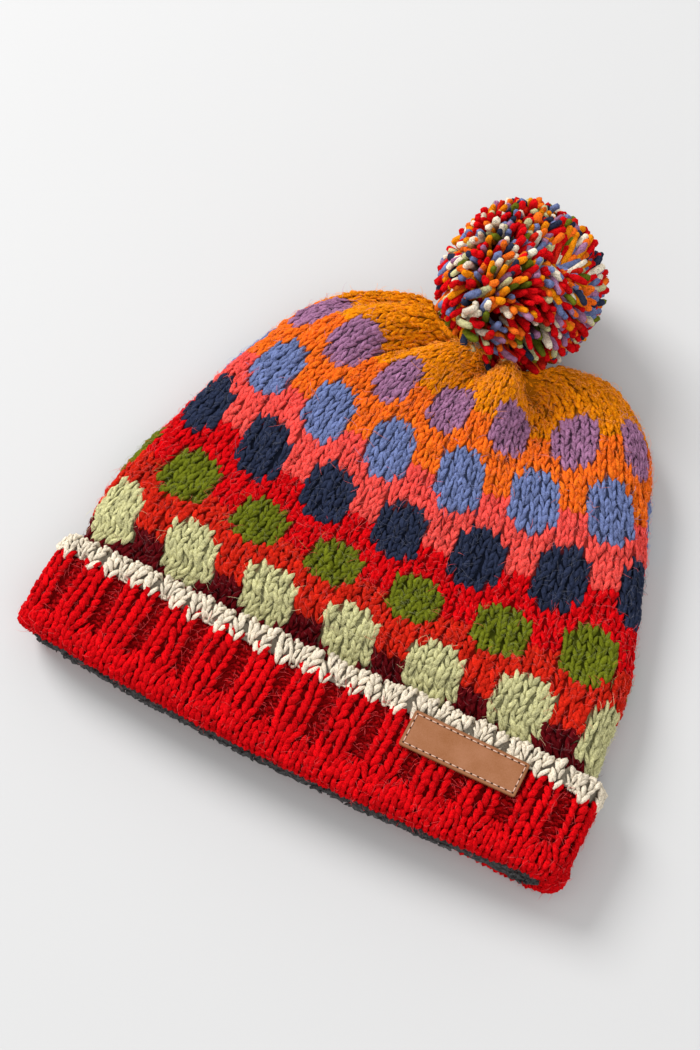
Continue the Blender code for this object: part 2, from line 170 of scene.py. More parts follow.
BACK_PLEATS = tuple(
    Pleat(column, 3.0, 0.62, 0.84, height)
    for first, height in ((38, 0.05), (42, -0.05))
    for column in range(first, 70, 8)
)

# The knitted chart: a band of ground colour starts at each row, and a row of spots sits on each change
Band = namedtuple("Band", "first ground")
BANDS = (
    Band(0, "burgundy"),
    Band(4, "brick"),
    Band(12, "red"),
    Band(20, "coral"),
    Band(28, "orange"),
    Band(37, "amber"),
)

# shift is the column of a spot's middle, out of the columns from one spot to the next
SpotRow = namedtuple("SpotRow", "middle shift colour")
SPOT_ROWS = (
    SpotRow(4, 0, "light_green"),
    SpotRow(12, 4, "green"),
    SpotRow(20, 0, "navy"),
    SpotRow(28, 4, "blue"),
    SpotRow(36, 0, "lavender"),
)
SPOT_REPEAT = 8
SPOT_HALF_WIDTHS = (1, 2, 2, 2, 2, 2, 1)
EVEN_ROWS = 36
ALL_ROWS = 54
GATHERED_ROW = 0.0033
GATHER_END = 0.985

# How far the rows hang from their even places, in rows, at the middle of a layer
# and how much further up at the hat's two side edges
Hang = namedtuple("Hang", "row middle edges")
HANGS = (
    Hang(0, -1.3, 0.9),
    Hang(8, -1.2, 1.6),
    Hang(16, 0.1, 1.1),
    Hang(24, 0.15, 2.0),
    Hang(32, 0.5, 1.7),
    Hang(36, 0.4, 2.2),
)

# How far the edging stands above its even place, by the column of stitches to the right of the middle
Line = namedtuple("Line", "column rise")
EDGE_LINE = (
    Line(-52, 0.0),
    Line(-30, 0.0),
    Line(-22, -0.0006),
    Line(-14, -0.0011),
    Line(-6, -0.0019),
    Line(2, -0.0017),
    Line(8, 0.0001),
    Line(14, 0.0008),
    Line(20, 0.0005),
    Line(30, 0.0),
    Line(52, 0.0),
)

# One strand of yarn over a stitch: along in rows, across in columns, lift in metres above the fabric
# and full as a share of the yarn's full thickness
Reach = namedtuple("Reach", "along across lift full")
KNIT_LEG = (
    Reach(-0.42, 0.03, -0.0019, 0.0),
    Reach(-0.14, 0.08, -0.0009, 0.72),
    Reach(0.26, 0.16, -0.0004, 1.0),
    Reach(0.74, 0.29, -0.0004, 0.97),
    Reach(1.16, 0.40, -0.0011, 0.62),
    Reach(1.45, 0.45, -0.0020, 0.0),
)
PLAIN_LEG = (
    Reach(-0.35, 0.05, -0.0019, 0.0),
    Reach(0.05, 0.12, -0.0008, 0.95),
    Reach(0.50, 0.24, -0.0004, 1.0),
    Reach(0.95, 0.37, -0.0009, 0.80),
    Reach(1.35, 0.44, -0.0020, 0.0),
)
RIB_LEG = (
    Reach(-0.40, 0.11, -0.0012, 0.0),
    Reach(-0.11, 0.15, -0.0002, 0.77),
    Reach(0.29, 0.21, 0.0005, 1.0),
    Reach(0.71, 0.29, 0.0005, 0.98),
    Reach(1.09, 0.36, -0.0003, 0.70),
    Reach(1.35, 0.40, -0.0013, 0.0),
)
PURL_HEAD = (
    Reach(0.30, -0.58, -0.0026, 0.0),
    Reach(0.46, -0.42, -0.0019, 0.85),
    Reach(0.62, -0.18, -0.0013, 1.0),
    Reach(0.66, 0.00, -0.0012, 1.0),
    Reach(0.62, 0.18, -0.0013, 1.0),
    Reach(0.46, 0.42, -0.0019, 0.85),
    Reach(0.30, 0.58, -0.0026, 0.0),
)
PURL_FOOT = (
    Reach(0.34, -0.08, -0.0026, 0.0),
    Reach(0.18, 0.08, -0.0019, 0.85),
    Reach(0.04, 0.32, -0.0014, 1.0),
    Reach(0.00, 0.50, -0.0013, 1.0),
    Reach(0.04, 0.68, -0.0014, 1.0),
    Reach(0.18, 0.92, -0.0019, 0.85),
    Reach(0.34, 1.08, -0.0026, 0.0),
)

# How far the columns of the crown lean over and bunch: at the foot, the change, and where the change is
LEAN = (0.65, -0.90)
LEAN_PLACES = (0.38, 0.68)
BUNCH = (0.7, 1.3)
BUNCH_PLACES = (0.50, 0.70)
# Columns narrower than this are knitted in twos, and than this in fours, where the crown is gathered
PAIRED_WIDTH = 0.0021
FOURED_WIDTH = 0.00105
# The crown's stitches in three pieces, by row, and the turns of the hat's back
LOWER_ROWS = 13
MIDDLE_ROWS = 27
BACK_TURNS = (0.555, 0.945)

# The walls behind the strands: their steps round the hat, and the painted shade that darkens the yarn's
# colour on them as in the strands' shadow
WALL_STEPS = 2 * COLUMNS
WALL_PAINTED_SHADE = 0.5
CROWN_WALL_PAINTED_SHADE = 0.55
SLEEVE_STEPS = 3 * COLUMNS

# How far strands of one kind differ from one another
SIDE_SPREAD = 0.04
ROW_SPREAD = 0.09
SLANT_SPREAD = 0.13
RISE_SPREAD = 0.00022
FATNESS_SPREAD = 0.13
LUMP_SPREAD = 0.11
KINK_SPREAD = 0.00009
# The narrowest and the widest column that a strand's own width follows
COLUMN_LIMITS = (0.0012, 0.0056)

# What strands lie on: a net of its surface, where rows and columns stand on it, and what lifts them
Fabric = namedtuple("Fabric", "node slot finish net place_of column_at lift_at", defaults=(None,))
# Half the width as a share of a column, half the thickness, the sides of a strand and how uneven it is
Yarn = namedtuple("Yarn", "wide thick sides uneven", defaults=(5, 1.0))

RIB_SPREAD = 0.42
RIB_RISE = 0.0013
RIB_ROW = 0.0033
RIB_FOOT = 0.0100
RIB_FADE = (0.0055, 0.0125)
RIB_SUNK = 0.0030
LABEL_PRESS = 0.003
EDGING_ROW = 0.0034
EDGING_ROWS = 5
EDGING_TIPS = OUTER_LEG_TOP - 0.0018
EDGING_ROUND = EDGING_WALL / 2
EDGING_END = CUFF_HEIGHT - EDGING_ROUND + math.pi * EDGING_ROUND
EDGING_SUNK = 0.0018
CROWN_SUNK = 0.0016
PILE_ROW = 0.0028
PILE_ROWS = 6
RIM_START = -0.004
RIM_END = 0.030

LABEL_BEVEL = 0.00035
LABEL_CUTS = (60, 18)
SEAM_INSET = 0.0014
SEAM_STITCH = 0.0031
SEAM_GROOVE = 0.00022
SEAM_GROOVE_WIDTH = 0.0004

# A stitch of the label's seam: its share of the way to the next hole, its lift and half its thickness
SeamPoint = namedtuple("SeamPoint", "share lift half")
SEAM_THREAD = (
    SeamPoint(0.12, -0.0003, 0.0),
    SeamPoint(0.22, 0.00002, 0.00022),
    SeamPoint(0.50, 0.00014, 0.00026),
    SeamPoint(0.78, 0.00002, 0.00022),
    SeamPoint(0.88, -0.0003, 0.0),
)
HolePoint = namedtuple("HolePoint", "reach half")
SEAM_HOLE = (
    HolePoint(-0.00042, 0.0),
    HolePoint(-0.00025, 0.00034),
    HolePoint(0.0, 0.00042),
    HolePoint(0.00025, 0.00034),
    HolePoint(0.00042, 0.0),
)

POMPOM_MIX = (
    ("red", 0.30),
    ("brick", 0.04),
    ("orange", 0.12),
    ("amber", 0.11),
    ("cream", 0.07),
    ("light_green", 0.06),
    ("green", 0.05),
    ("blue", 0.10),
    ("navy", 0.06),
    ("lavender", 0.08),
)
POMPOM_CORE = 0.70
SHAGGY = Vector((0.02, -0.94, 0.33)).normalized()
SHAG = 0.013
PARTING_WIDTH = 0.30
PARTING_DEPTH = 0.0075
PARTING_SPLAY = 1.3
END_TRIM = 0.12
END_LENGTH = 0.016
END_SPARE = 0.007
END_CURVE = 0.010
END_SWEEP = 0.75
END_SPREAD = 0.28
END_MARGIN = 0.0008

# A cut end of the pompom's yarn, from its root to its tip
EndPoint = namedtuple("EndPoint", "share full")
POMPOM_END = (
    EndPoint(0.0, 0.0),
    EndPoint(0.15, 0.75),
    EndPoint(0.40, 0.92),
    EndPoint(0.65, 1.0),
    EndPoint(0.85, 1.0),
    EndPoint(0.96, 0.80),
    EndPoint(1.0, 0.0),
)

TIE_STRANDS = 3
TIE_YARN = 0.00085
TIE_CORE = 0.0008
TIE_TWIST = 900
TIE_PAST = 0.004

# Shares of all loose fibres, and the turns of the hat that they stand on
CROWN_FIBRES = 0.72
CUFF_FIBRES = 0.16
FIBRE_TURNS = (-0.06, 0.56)
FIBRE_SHORTEST = 0.002
FIBRE_SPARE = 0.006
FIBRE_ROOT = 0.0004
FIBRE_ARCH = 0.0004
FIBRE_ARCH_SPARE = 0.0011
FIBRE_CURL = 0.45
FIBRE_FULL = (0, 1, 1, 0.85, 0)

Lamp = namedtuple("Lamp", "name place width power")
LAMPS = (
    Lamp("window", (-2.0, 0.74, 1.8), 1.3, 80),
    Lamp("fill", (0.7, -0.9, 1.4), 1.4, 7),
)
SKY_STRENGTH = 0.85
TABLE_HALF = 3.0
TABLE_DROP = 0.0002
CAMERA_TARGET = Vector((-0.0240, -0.0071, 0))
CAMERA_LENS = 66.03
CAMERA_SENSOR = 36

NET_TURNS = 1040
NET_PLACES = 480


def from_screen(red, green, blue):
    """A colour as a screen shows it, 0 to 255, in Blender's linear light."""
    shares = [part / 255 for part in (red, green, blue)]
    return tuple(s / 12.92 if s <= 0.04045 else ((s + 0.055) / 1.055) ** 2.4 for s in shares)


def colour_property(label, what, *screen):
    return FloatVectorProperty(
        name=label,
        description=what,
        subtype="COLOR",
        size=3,
        min=0,
        max=1,
        default=from_screen(*screen),
    )


class HatColours(PropertyGroup):
    """The colours of the yarns, the fleece and the leather."""

    burgundy: colour_property("Burgundy", "Yarn above the cuff", 96, 3, 12)
    brick: colour_property("Brick", "Yarn round the light green spots", 208, 34, 14)
    red: colour_property("Red", "Yarn of the cuff and the third band", 216, 0, 10)
    coral: colour_property("Coral", "Yarn of the fourth band", 250, 84, 76)
    orange: colour_property("Orange", "Yarn of the fifth band", 253, 114, 26)
    amber: colour_property("Amber", "Yarn of the top of the crown", 240, 141, 4)
    light_green: colour_property("Light green", "Yarn of the first spots", 208, 204, 150)
    green: colour_property("Green", "Yarn of the second spots", 108, 116, 22)
    navy: colour_property("Navy", "Yarn of the third spots", 42, 50, 74)
    blue: colour_property("Blue", "Yarn of the fourth spots", 116, 130, 178)
    lavender: colour_property("Lavender", "Yarn of the fifth spots", 166, 116, 152)
    cream: colour_property("Cream", "Yarn of the cuff's edging", 240, 226, 202)
    charcoal: colour_property("Charcoal", "Fleece inside the cuff", 27, 25, 27)
    leather: colour_property("Leather", "The label", 144, 82, 25)
    thread: colour_property("Thread", "The running stitch round the label", 214, 178, 158)
    table: colour_property("Table", "The surface under the hat", 189, 189, 189)


class HatSizes(PropertyGroup):
    """The sizes of the yarn and of the camera's view."""

    yarn_width: FloatProperty(
        name="Yarn width",
        description="Half the width of a strand, as a share of a column of stitches",
        default=0.225,
        min=0.1,
        max=0.5,
        subtype="FACTOR",
    )
    yarn_thickness: FloatProperty(
        name="Yarn thickness",
        description="Half the thickness of a strand of the crown or the cuff",
        default=0.0012,
        min=0.0005,
        max=0.003,
        unit="LENGTH",
    )
    unevenness: FloatProperty(
        name="Unevenness",
        description="How far stitches differ from one another",
        default=1.0,
        min=0.0,
        max=3.0,
    )
    pompom_ends: IntProperty(
        name="Pompom ends",
        description="Cut ends of yarn in the pompom",
        default=1750,
        min=200,
        max=3000,
    )
    pompom_yarn: FloatProperty(
        name="Pompom yarn",
        description="Half the thickness of the pompom's yarn",
        default=0.0016,
        min=0.0008,
        max=0.003,
        unit="LENGTH",
    )
    fibres: IntProperty(
        name="Fibres",
        description="Loose fibres that stand off the knitting",
        default=12000,
        min=0,
        max=20000,
    )
    fibre_width: FloatProperty(
        name="Fibre width",
        description="Half the thickness of a loose fibre",
        default=0.00006,
        min=0.00001,
        max=0.0003,
        unit="LENGTH",
    )
    camera_turn: FloatProperty(
        name="Camera turn",
        description="How far the camera stands to the right of the hat's axis",
        default=math.radians(26.9),
        subtype="ANGLE",
    )
    camera_rise: FloatProperty(
        name="Camera rise",
        description="The camera's angle above the table",
        default=math.radians(65),
        subtype="ANGLE",
    )
    camera_distance: FloatProperty(
        name="Camera distance",
        description="From the camera to the point that it looks at",
        default=0.85,
        unit="LENGTH",
    )


def colour_of(name):
    return np.array(getattr(bpy.context.scene.hat_colours, name))


def sizes():
    return bpy.context.scene.hat_sizes


# Shapes of the fabric


def grow(low, high, value):
    """0 below low, 1 above high, and smooth between."""
    share = np.clip((value - low) / (high - low), 0, 1)
    return share * share * (3 - 2 * share)


def unit(vectors):
    return vectors / np.maximum(np.linalg.norm(vectors, axis=-1, keepdims=True), 1e-12)


def steady_curve(places, values):
    """A smooth function of place through these values that never swings past them."""
    places = np.array(places, float)
    values = np.array(values, float)
    steps = np.diff(values) / np.diff(places)
    product = steps[:-1] * steps[1:]
    total = np.where(product > 0, steps[:-1] + steps[1:], 1)
    inner = np.where(product > 0, 2 * product / total, 0)
    slopes = np.concatenate([steps[:1], inner, steps[-1:]])

    def at(place):
        i = np.searchsorted(places[1:-1], place, side="right")
        width = places[i + 1] - places[i]
        t = (place - places[i]) / width
        return (
            (1 + 2 * t) * (1 - t) ** 2 * values[i]
            + t * (1 - t) ** 2 * width * slopes[i]
            + t * t * (3 - 2 * t) * values[i + 1]
            + t * t * (t - 1) * width * slopes[i + 1]
        )

    return at


def ends_share(half_width, half_depth):
    round_length = 2 * math.pi * half_depth
    return round_length / (4 * (half_width - half_depth) + round_length)


def cuff_ring(up, out):
    """The ring of the folded band at a height up from the fold and a depth out from the mouth."""
    fade = 1 - up / CUFF_HEIGHT
    still = np.zeros_like(fade)
    return Ring(
        half_width=MOUTH_HALF_WIDTH + out,
        span=BRIM_WIDTH / 2,
        drift=still,
        top=MOUTH_HEIGHT + MOUTH_GAP / 2 + out,
        under=MOUTH_HEIGHT - MOUTH_GAP / 2 - out,
        edge=MOUTH_HEIGHT,
        drop=MOUTH_CLOSING,
        ends=ends_share(BRIM_WIDTH / 2, MOUTH_HEIGHT),
        front_reach=FOLD_REACH + up - FRONT_BOW * fade,
        front_smile=FRONT_BOW * fade,
        front_tilt=still,
        back_reach=FOLD_REACH + up + BACK_TUCK * fade,
        back_smile=-BACK_TUCK * fade,
        back_tilt=BACK_SKEW * fade,
    )


def level_ring(half_width, drift, top, under, edge, drop, ends, reach, smile):
    """A ring whose front and back reach the same way."""
    return Ring(
        half_width=half_width,
        span=half_width,
        drift=drift,
        top=top,
        under=under,
        edge=edge,
        drop=drop,
        ends=ends,
        front_reach=reach,
        front_smile=smile,
        front_tilt=0.0,
        back_reach=reach,
        back_smile=smile,
        back_tilt=0.0,
    )


def section_ring(section):
    top = section.top * CROWN_PUFF
    under = section.under * CROWN_PUFF
    half_width = section.half_width * BRIM_WIDTH / 2
    return level_ring(
        half_width=half_width,
        drift=section.drift * BRIM_WIDTH / 2,
        top=top,
        under=under,
        edge=under + EDGE_SHARE * (top - under),
        drop=section.drop * CROWN_PUFF,
        ends=ends_share(half_width, (top - under) / 2),
        reach=section.reach * CROWN_REACH,
        smile=section.smile * CROWN_REACH,
    )


def gather_ring():
    return level_ring(
        half_width=TIE_HOLE_RADIUS,
        drift=GATHER_DRIFT,
        top=GATHER_HEIGHT + TIE_HOLE_RADIUS,
        under=GATHER_HEIGHT - TIE_HOLE_RADIUS,
        edge=GATHER_HEIGHT,
        drop=0.0,
        ends=1.0,
        reach=GATHER_REACH,
        smile=0.0,
    )


def tucked_ring(rows):
    """The crown inside the cuff."""
    hidden = CUFF_HEIGHT - INNER_LEG_HEIGHT - PIECE_GAP
    return cuff_ring(CUFF_HEIGHT - hidden * rows / TUCKED_ROWS, CROWN_TUCKED_OUT)


def crown_curves():
    rings = [(rows, tucked_ring(rows)) for rows in (TUCKED_ROWS, 0.0)]
    rings += [(section.rows, section_ring(section)) for section in SECTIONS]
    rings += [(1.0, gather_ring())]
    places = [rows for rows, _ in rings]
    return [steady_curve(places, values) for values in zip(*(ring for _, ring in rings))]


def ring_points(turn, ring):
    """Points at turns of 0 to 1 round rings, from the right edge over the front to the left and back."""
    turn = turn % 1.0
    half_depth = (ring.top - ring.under) / 2
    quarter = ring.ends / 4
    flat = np.maximum(0.5 - 2 * quarter, 1e-9)
    on_front = turn < 0.5
    along = np.where(on_front, turn, turn - 0.5)
    late = math.pi / 2 * (1 + (along - quarter - flat) / quarter)
    angle = np.where(along < quarter, math.pi / 2 * along / quarter, np.maximum(late, math.pi / 2))
    slide = np.clip(1 - 2 * (along - quarter) / flat, -1, 1)
    across = (ring.half_width - half_depth) * slide + half_depth * np.cos(angle)
    level = np.sin(angle)
    across = np.where(on_front, across, -across)
    level = np.where(on_front, level, -level)
    share = across / ring.span
    high = ring.edge + level * (ring.top - ring.drop * share**2 - ring.edge)
    low = ring.edge + level * (ring.edge - ring.under)
    height = np.where(on_front, high, low)
    front = grow(-1, 1, level)
    front_y = ring.front_reach + ring.front_smile * share**2 + ring.front_tilt * share
    back_y = ring.back_reach + ring.back_smile * share**2 + ring.back_tilt * share
    reach = front * front_y + (1 - front) * back_y - ORIGIN_REACH
    return np.stack(np.broadcast_arrays(across + ring.drift, reach, height), axis=-1)


def columns_off(turn, column=0.0):
    """Columns from this column of the hat to a turn, the short way round."""
    return (COLUMNS * (0.25 - turn) - column + COLUMNS / 2) % COLUMNS - COLUMNS / 2


def pleat_height(turn, rows):
    height = 0.0
    for pleat in PLEATS + BACK_PLEATS:
        off = columns_off(turn, pleat.column)
        grown = grow(pleat.start, pleat.full, rows)
        height = height + pleat.height * grown * np.exp(-((off / pleat.width) ** 2))
    return height * CROWN_PUFF * (1 - grow(*PLEAT_FADE, rows))


def from_origin(place):
    """A place of the solid model's own frame in the scene's."""
    return np.array(place) - (0, ORIGIN_REACH, 0)


def above_table(points, least=0.0):
    points[..., 2] = np.maximum(points[..., 2], least)
    return points


def clear_of_pompom(points, clearance):
    centre = from_origin(POMPOM_CENTRE)
    away = points - centre
    far = np.linalg.norm(away, axis=-1, keepdims=True)
    least = POMPOM_RADIUS + clearance
    return np.where(far >= least, points, centre + away / np.maximum(far, 1e-9) * least)


def surface_normals(points):
    around = np.roll(points, -1, 0) - np.roll(points, 1, 0)
    along = np.gradient(points, axis=1)
    return unit(np.cross(along, around))


class Net:
    """A close net of points over one side of the fabric, read between its points."""

    def __init__(self, points, first, last):
        around = np.roll(points, -1, 0) - np.roll(points, 1, 0)
        spacing = np.linalg.norm(around, axis=-1, keepdims=True) / 2 * NET_TURNS / COLUMNS
        self.table = np.concatenate([points, surface_normals(points), spacing], axis=-1)
        self.first = first
        self.last = last

    def read(self, turn, place):
        """(points, normals, width of a column) at turns round the hat and places along it."""
        turns, places = self.table.shape[:2]
        x = (turn % 1.0) * turns
        y = np.clip((place - self.first) / (self.last - self.first), 0, 1) * (places - 1)
        i = np.floor(x).astype(int)
        j = np.minimum(np.floor(y).astype(int), places - 2)
        u = (x - i)[..., None]
        v = (y - j)[..., None]
        i = i % turns
        k = (i + 1) % turns
        low = self.table[i, j] * (1 - u) + self.table[k, j] * u
        high = self.table[i, j + 1] * (1 - u) + self.table[k, j + 1] * u
        found = low * (1 - v) + high * v
        return found[..., :3], unit(found[..., 3:6]), found[..., 6]


def crown_net(depth=0.0):
    turn = np.arange(NET_TURNS)[:, None] / NET_TURNS
    rows = np.linspace(TUCKED_ROWS, 1, NET_PLACES)[None, :]
    base = ring_points(turn, Ring(*(curve(rows) for curve in crown_curves())))
    height = pleat_height(turn, rows)[..., None] - depth
    points = clear_of_pompom(base + surface_normals(base) * height, POMPOM_CLEARANCE + depth)
    return Net(above_table(points, depth), TUCKED_ROWS, 1.0)


def band_net(first, last, ring_at):
    """The net of a band round the mouth. ring_at gives its rings at turns and places from first to last."""
    turn = np.arange(NET_TURNS)[:, None] / NET_TURNS
    place = np.linspace(first, last, NET_PLACES)[None, :]
    return Net(above_table(ring_points(turn, ring_at(turn, place))), first, last)


def cuff_profile(path, lift):
    """(up, out) along the folded band's outside, inside the fold's tip below zero and outside above."""
    angle = math.pi / 2 * (1 + np.clip(path / FOLD_QUARTER, -1, 1))
    radius = FOLD_RADIUS + lift
    past = np.maximum(np.abs(path) - FOLD_QUARTER, 0)
    return FOLD_RADIUS - radius * np.sin(angle) + past, FOLD_MIDDLE - radius * np.cos(angle)


def path_at(up):
    """How far along the band's outside a height on the outer leg is."""
    return up - FOLD_RADIUS + FOLD_QUARTER


PATH_START = -0.016
PATH_END = path_at(CUFF_HEIGHT + 0.002)


def cuff_fold(turn, path):
    return cuff_ring(*cuff_profile(path, 0.0))


def lining_rim(turn, path):
    """Rings of the lining's rim, from its outside round the edge to the side that faces the mouth."""
    half = LINING_WALL / 2
    angle = np.clip(path / half, -math.pi / 2, math.pi / 2)
    past = np.maximum(np.abs(path) - half * math.pi / 2, 0)
    return cuff_ring(-LINING_SHOW + half - half * np.cos(angle) + past, half - half * np.sin(angle))


# Meshes


def add_object(name, data):
    obj = bpy.data.objects.new(name, data)
    bpy.context.scene.collection.objects.link(obj)
    return obj


def mesh_of(name, bm):
    mesh = bpy.data.meshes.new(name)
    bm.to_mesh(mesh)
    bm.free()
    return mesh


def corners_of(mesh):
    found = np.zeros(len(mesh.vertices) * 3, np.float32)
    mesh.vertices.foreach_get("co", found)
    return found.reshape(-1, 3)


def move_corners(mesh, points):
    mesh.vertices.foreach_set("co", points.astype(np.float32).ravel())


def set_yarn(mesh, colours):
    """Give each corner of a mesh the colour of its yarn."""
    yarn = mesh.attributes.new("yarn", "FLOAT_COLOR", "POINT")
    rgba = np.concatenate([colours, np.ones((len(colours), 1))], axis=1)
    yarn.data.foreach_set("color", rgba.astype(np.float32).ravel())


def new_piece(name, mesh, material, node):
    """Hang a finished mesh on the hat's body, in place of its solid."""
    mesh.materials.append(material)
    obj = add_object(name, mesh)
    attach(obj, "root")
    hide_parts(node)
    return obj


def strand_form(sides, stations):
    """A closed strand with rounded ends: each corner's station and direction round it, and the faces."""
    bm = bmesh.new()
    bmesh.ops.create_uvsphere(bm, u_segments=sides, v_segments=stations - 1, radius=1)
    bm.verts.index_update()
    corners = np.array([vertex.co for vertex in bm.verts])
    faces = [[vertex.index for vertex in face.verts] for face in bm.faces]
    bm.free()
    level = 1 - np.arccos(np.clip(corners[:, 2], -1, 1)) / math.pi
    station = np.rint(level * (stations - 1)).astype(int)
    turn = np.arctan2(corners[:, 1], corners[:, 0]) / (2 * math.pi) % 1
    pole = (station == 0) | (station == stations - 1)
    around = []
    for face in faces:
        turns = turn[face].copy()
        known = ~pole[face]
        if np.ptp(turns[known]) > 0.5:
            turns[turns < 0.5] += 1
        turns[~known] = turns[known].mean()
        around.append(turns)
    starts = np.cumsum([0] + [len(face) for face in faces[:-1]])
    return station, turn, pole, np.concatenate(faces), starts, np.concatenate(around)


def fill_mesh(name, points, loops, starts, colours, uv):
    """A smooth mesh from arrays, with a yarn colour at each corner and a strand map."""
    mesh = bpy.data.meshes.new(name)
    mesh.vertices.add(len(points))
    mesh.loops.add(len(loops))
    mesh.polygons.add(len(starts))
    move_corners(mesh, points)
    mesh.loops.foreach_set("vertex_index", loops.astype(np.int32))
    mesh.polygons.foreach_set("loop_start", starts.astype(np.int32))
    mesh.update(calc_edges=True)
    mesh.polygons.foreach_set("use_smooth", np.ones(len(starts), bool))
    set_yarn(mesh, colours)
    mesh.uv_layers.new(name="strand").uv.foreach_set("vector", uv.astype(np.float32).ravel())
    mesh.update()
    return mesh


def strand_mesh(name, middles, ups, widths, thicks, colours, sides=6):
    """Many short strands as one mesh, from arrays of strands by stations."""
    count, stations = middles.shape[:2]
    station, turn, pole, face_loops, face_starts, around = strand_form(sides, stations)
    tangent = unit(np.gradient(middles, axis=1))
    side = unit(np.cross(ups, tangent))
    up = np.cross(tangent, side)
    cosine = np.where(pole, 0, np.cos(turn * 2 * math.pi))
    sine = np.where(pole, 0, np.sin(turn * 2 * math.pi))
    points = above_table(
        middles[:, station]
        + side[:, station] * (widths[:, station] * cosine)[..., None]
        + up[:, station] * (thicks[:, station] * sine)[..., None]
    )
    corners = points.shape[1]
    order = np.arange(count)[:, None]
    loops = (face_loops[None] + order * corners).ravel()
    starts = (face_starts[None] + order * len(face_loops)).ravel()
    steps = np.linalg.norm(np.diff(middles, axis=1), axis=-1)
    length = np.concatenate([np.zeros((count, 1)), np.cumsum(steps, axis=1)], axis=1) * 1000
    v = length[:, station[face_loops]]
    uv = np.stack([np.broadcast_to(around, v.shape), v], axis=-1).reshape(-1, 2)
    shades = np.repeat(colours, corners, axis=0)
    return fill_mesh(name, points.reshape(-1, 3), loops, starts, shades, uv)


def stray(column, row):
    """How far stitches stray from their even places, in columns and in rows."""
    sideways = 0.10 * np.sin(0.9 * row + 2.4 * column) + 0.08 * np.sin(0.37 * row - 1.1 * column)
    along = 0.13 * np.sin(2.1 * column + 0.7 * row) + 0.10 * np.sin(0.8 * column - 0.45 * row)
    return sideways, along


def lay_strands(name, fabric, table, stitches, yarn, colours, rng):
    """A piece of strands on a fabric, each following the table at its column, row, width and side."""
    column, row, step, flip = stitches
    along, across, lift, full = np.array(table).T
    count = len(column)
    wobble = sizes().unevenness * yarn.uneven
    aside, ahead = stray(column, row)
    middle = column + step / 2 + aside * wobble + rng.normal(0, SIDE_SPREAD * wobble, count)
    off = rng.normal(0, ROW_SPREAD * wobble, (count, 1))
    place = fabric.place_of(column, (row + ahead * wobble)[:, None] + along[None] + off)
    slant = rng.normal(1, SLANT_SPREAD * wobble, (count, 1))
    sideways = across[None] * slant * (flip * step)[:, None]
    turn = 0.25 - fabric.column_at(middle[:, None] + sideways, place) / COLUMNS
    points, normals, spacing = fabric.net.read(turn, place)
    rise = lift[None] + rng.normal(0, RISE_SPREAD * wobble, (count, 1))
    if fabric.lift_at:
        rise = rise + fabric.lift_at(turn, place, points)
    fatness = full[None] * rng.normal(1, FATNESS_SPREAD * wobble, (count, 1))
    fatness = fatness * rng.normal(1, LUMP_SPREAD, (count, len(full)))
    edges = [fabric.column_at((middle + side * step / 2)[:, None], place) for side in (-1, 1)]
    widths = fatness * yarn.wide * np.clip(spacing * (edges[1] - edges[0]), *COLUMN_LIMITS)
    thicks = fatness * np.minimum(yarn.thick, widths / np.maximum(full[None], 0.1) * 1.1)
    middles = points + normals * rise[..., None] + rng.normal(0, KINK_SPREAD, points.shape)
    mesh = strand_mesh(name, middles, normals, widths, thicks, colours, yarn.sides)
    new_piece(name, mesh, fabric.finish, fabric.node)


def bent_shell(name, around, stations, place, shade):
    """Bend a grid round the hat and close it on itself. place gives points for turns and stations."""
    bm = bmesh.new()
    bmesh.ops.create_grid(bm, x_segments=around, y_segments=stations, size=1)
    for vertex in bm.verts:
        vertex.co.x = round((vertex.co.x + 1) / 2 * around) % around
        vertex.co.y = round((vertex.co.y + 1) / 2 * stations) % stations
    bmesh.ops.remove_doubles(bm, verts=bm.verts, dist=1e-4)
    mesh = mesh_of(name, bm)
    grid = corners_of(mesh)
    turn = grid[:, 0] / around
    station = np.rint(grid[:, 1]).astype(int)
    move_corners(mesh, place(turn, station))
    bm = bmesh.new()
    bm.from_mesh(mesh)
    bmesh.ops.recalc_face_normals(bm, faces=bm.faces)
    bm.to_mesh(mesh)
    bm.free()
    mesh.shade_smooth()
    set_yarn(mesh, shade(turn, station))
    mesh.uv_layers.new(name="strand")
    return mesh


def band_wall(name, around, ups, outs, colour, rise_at=None):
    """A closed wall round the mouth, through heights up from the fold and depths out."""

    def place(turn, station):
        up = ups[station] + (rise_at(turn) if rise_at else 0)
        return above_table(ring_points(turn, cuff_ring(up, outs[station])))

    def shade(turn, station):
        return np.tile(colour, (len(turn), 1))

    return bent_shell(name, around, len(ups), place, shade)


# Materials


class Number:
    """A number in a material. Sums written with it become Math nodes."""

    def __init__(self, finish, socket):
        self.finish = finish
        self.socket = socket

    def __add__(self, other):
        return self.finish.maths("ADD", self, other)

    def __radd__(self, other):
        return self.finish.maths("ADD", other, self)

    def __sub__(self, other):
        return self.finish.maths("SUBTRACT", self, other)

    def __rsub__(self, other):
        return self.finish.maths("SUBTRACT", other, self)

    def __mul__(self, other):
        return self.finish.maths("MULTIPLY", self, other)

    def __truediv__(self, other):
        return self.finish.maths("DIVIDE", self, other)


